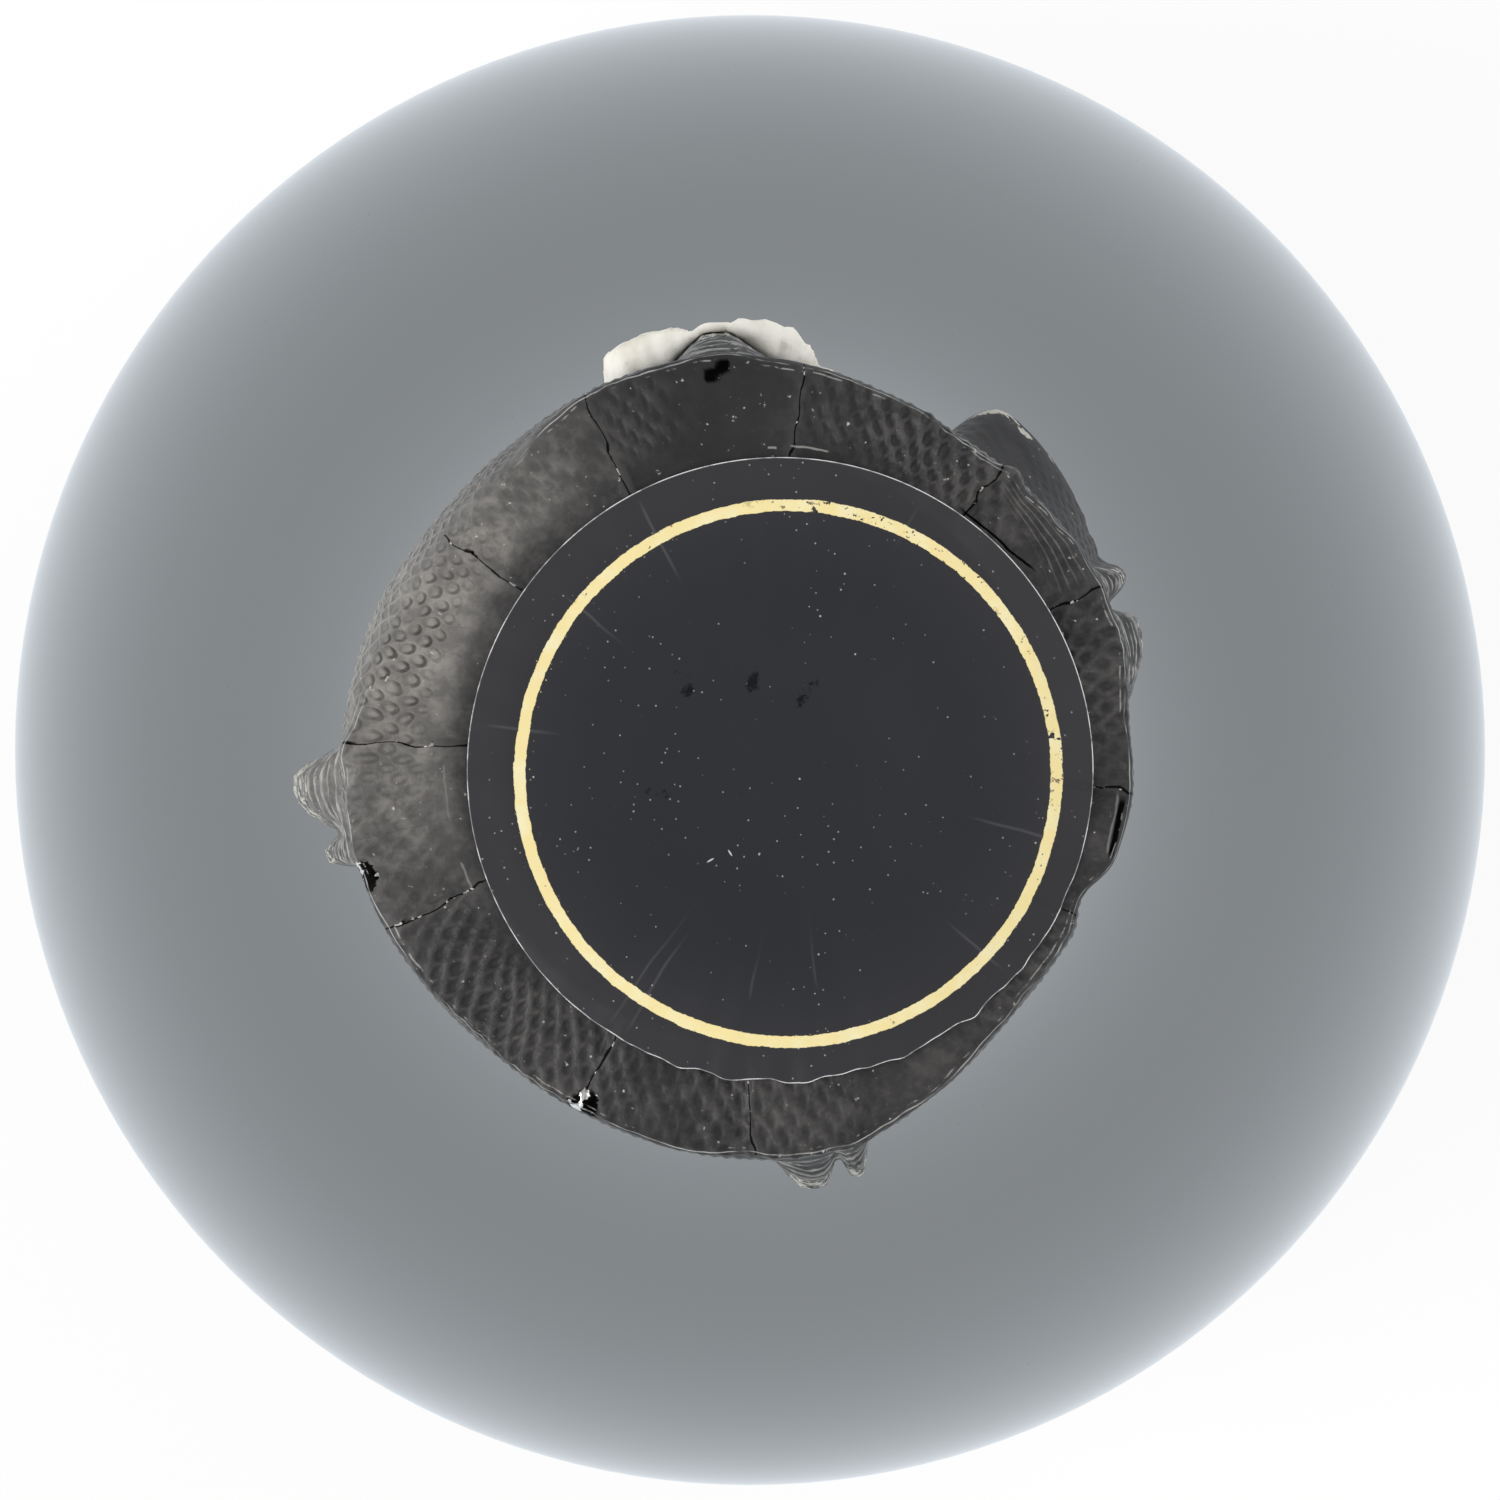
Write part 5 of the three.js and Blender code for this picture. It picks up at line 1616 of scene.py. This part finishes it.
class BOTTLE_OT_paper(bpy.types.Operator):
    """Curls the cream paper strip round the ridge at the back of the hood"""

    bl_idname = "bottle.paper"
    bl_label = "Paper strip"

    COLUMNS = 72
    ROWS = 64
    CURL_ROWS = 14
    THICKNESS = 0.22 * MM

    def execute(self, context):
        settings = context.scene.sparkling_bottle
        paper = settings.paper
        form = CapsuleForm(settings.foil)
        rows = self.ROWS + self.CURL_ROWS
        bm = bmesh.new()
        made = bmesh.ops.create_grid(bm, x_segments=self.COLUMNS, y_segments=rows, size=1.0)
        for vert in made["verts"]:
            vert.co = self.curled(paper, form, vert.co.x, (1 + vert.co.y) / 2 * rows)
        bmesh.ops.recalc_face_normals(bm, faces=bm.faces[:])
        if sum(face.normal.xy.dot(face.calc_center_median().xy) for face in bm.faces) < 0:
            bmesh.ops.reverse_faces(bm, faces=bm.faces[:])
        bmesh.ops.solidify(bm, geom=bm.faces[:], thickness=self.THICKNESS)
        obj = piece(bm, "paper_strip_curl", [cream_paper(paper)], sharp=60)
        stands_for(obj, "paper_strip", "hood")
        return {"FINISHED"}

    @classmethod
    def curled(cls, paper, form, side, row):
        """Place of a point of the strip: up the ridge and then rolled outward at its torn end."""
        angle = paper.angle + paper.half_angle * side
        lump = noise.noise(Vector((side * 2.7, 0.7, 0.2)))
        fray = 1.2 * MM * lump + 0.5 * MM * noise.noise(Vector((side * 8, 1.7, 0)))
        high = paper.top - 1.5 * MM * side ** 2 - 4.5 * MM * side ** 4 + fray
        low = form.foil.tear + 0.15 * MM
        off = max(0.45 * MM, read_off(ROLL_OUTLINE, angle) - form.wall(angle, high))
        stand = min(0.9 * MM, max(0.38 * MM, 0.25 * off))
        z = between(low, high, min(row / cls.ROWS, 1.0))
        buckle = 0.15 * MM * noise.noise(Vector((side * 2.6, z * 130, 2.4)))
        r = form.wall(angle, z) + stand + buckle
        if row > cls.ROWS:
            wound = (row - cls.ROWS) / cls.CURL_ROWS
            loose = max(0.25 * MM, (off - stand) / 1.55)
            turn = wound * math.radians(between(70, 330, soft(0.25 * MM, 0.7 * MM, loose)))
            roll = loose * (1 - 0.45 * wound)
            roll += 0.2 * roll * noise.noise(Vector((side * 7, turn * 1.3, 5.1)))
            r += roll * (1 - math.cos(turn))
            z += roll * math.sin(turn)
        return around(angle, r, z)


# Stage

class BOTTLE_OT_stage(bpy.types.Operator):
    """Sets the camera, the pale floor, the soft lamps and the white surround"""

    bl_idname = "bottle.stage"
    bl_label = "Stage"

    def execute(self, context):
        stage = context.scene.sparkling_bottle.stage
        context.scene.view_settings.view_transform = "Standard"
        self.camera(context, stage)
        self.floor()
        self.lamp("key_lamp", (-0.75, -0.25, 0.85), 0.7, stage.key_power)
        self.lamp("fill_lamp", (0.70, 0.45, 0.75), 0.8, stage.fill_power)
        self.surround(context, stage)
        return {"FINISHED"}

    @staticmethod
    def camera(context, stage):
        lens = bpy.data.cameras.new("photo_camera")
        lens.sensor_width = 36.0
        lens.lens = stage.focal_length
        lens.clip_end = 20.0
        camera = bpy.data.objects.new("photo_camera", lens)
        camera.location = (0.0, 0.0, stage.camera_height)
        context.scene.collection.objects.link(camera)
        context.scene.camera = camera

    @staticmethod
    def floor():
        under_bottle = Matrix.Translation((0, 0, -0.4 * MM))
        bm = bmesh.new()
        bmesh.ops.create_grid(bm, x_segments=8, y_segments=8, size=3.0, matrix=under_bottle)
        f = new_finish("white_floor")
        diffuse = f.node("ShaderNodeBsdfDiffuse", {}, {"Color": (0.88, 0.88, 0.88, 1.0)})
        glossy = f.ray("Glossy")
        seen = f.ray("Camera").most(glossy).most(f.ray("Transmission"))
        light = f.shade((1.0, 1.0, 1.0), (0.82, 0.885, 0.94), glossy)
        glow = f.node("ShaderNodeEmission", {}, {"Color": light, "Strength": 1.05})
        mixed = f.node("ShaderNodeMixShader", {}, {0: seen * 0.84, 1: diffuse, 2: glow})
        f.node("ShaderNodeOutputMaterial", {}, {"Surface": mixed})
        piece(bm, "floor", [f.owner])

    @staticmethod
    def lamp(name, place, size, power):
        light = bpy.data.lights.new(name, "AREA")
        light.shape = "SQUARE"
        light.size = size
        light.energy = power
        lamp = bpy.data.objects.new(name, light)
        lamp.location = place
        aim = Vector((0.0, 0.0, 0.25)) - Vector(place)
        lamp.rotation_euler = aim.to_track_quat("-Z", "Y").to_euler()
        bpy.context.scene.collection.objects.link(lamp)

    @staticmethod
    def surround(context, stage):
        world = bpy.data.worlds.new("white_room")
        f = Finish(world)
        camera, glossy = f.ray("Camera"), f.ray("Glossy")
        up = f.axes(f.node("ShaderNodeTexCoord", {}, {}, "Generated"))[2]
        sky = 0.75 - up.rise(0.0, 0.9) * 0.40
        level = glossy * sky + (1 - glossy) * stage.surround
        strength = camera + (1 - camera) * level
        room = f.node("ShaderNodeBackground", {}, {"Color": (1.0, 1.0, 1.0, 1.0), "Strength": strength})
        f.node("ShaderNodeOutputWorld", {}, {"Surface": room})
        context.scene.world = world


# Panel and registration

OPERATORS = (
    BOTTLE_OT_stage,
    BOTTLE_OT_glass,
    BOTTLE_OT_wine,
    BOTTLE_OT_cork,
    BOTTLE_OT_cap,
    BOTTLE_OT_muzzle,
    BOTTLE_OT_hood,
    BOTTLE_OT_skirt,
    BOTTLE_OT_disc,
    BOTTLE_OT_paper,
)


class BOTTLE_PT_pieces(bpy.types.Panel):
    """Lists the bottle's pieces and the stage"""

    bl_label = "Sparkling wine bottle"
    bl_idname = "BOTTLE_PT_pieces"
    bl_space_type = "VIEW_3D"
    bl_region_type = "UI"
    bl_category = "Bottle"

    def draw(self, context):
        for operator in OPERATORS:
            self.layout.operator(operator.bl_idname)


CLASSES = (
    GlassSettings,
    CorkSettings,
    MuzzleSettings,
    FoilSettings,
    DiscSettings,
    PaperSettings,
    StageSettings,
    BottleSettings,
    *OPERATORS,
    BOTTLE_PT_pieces,
)


def register():
    for cls in CLASSES:
        bpy.utils.register_class(cls)
    bpy.types.Scene.sparkling_bottle = PointerProperty(type=BottleSettings)


def unregister():
    del bpy.types.Scene.sparkling_bottle
    for cls in reversed(CLASSES):
        bpy.utils.unregister_class(cls)


def main():
    register()
    bpy.ops.bottle.stage()
    bpy.ops.bottle.glass()
    bpy.ops.bottle.wine()
    bpy.ops.bottle.cork()
    bpy.ops.bottle.cap()
    bpy.ops.bottle.muzzle()
    bpy.ops.bottle.hood()
    bpy.ops.bottle.skirt()
    bpy.ops.bottle.disc()
    bpy.ops.bottle.paper()


if __name__ == "__main__":
    main()
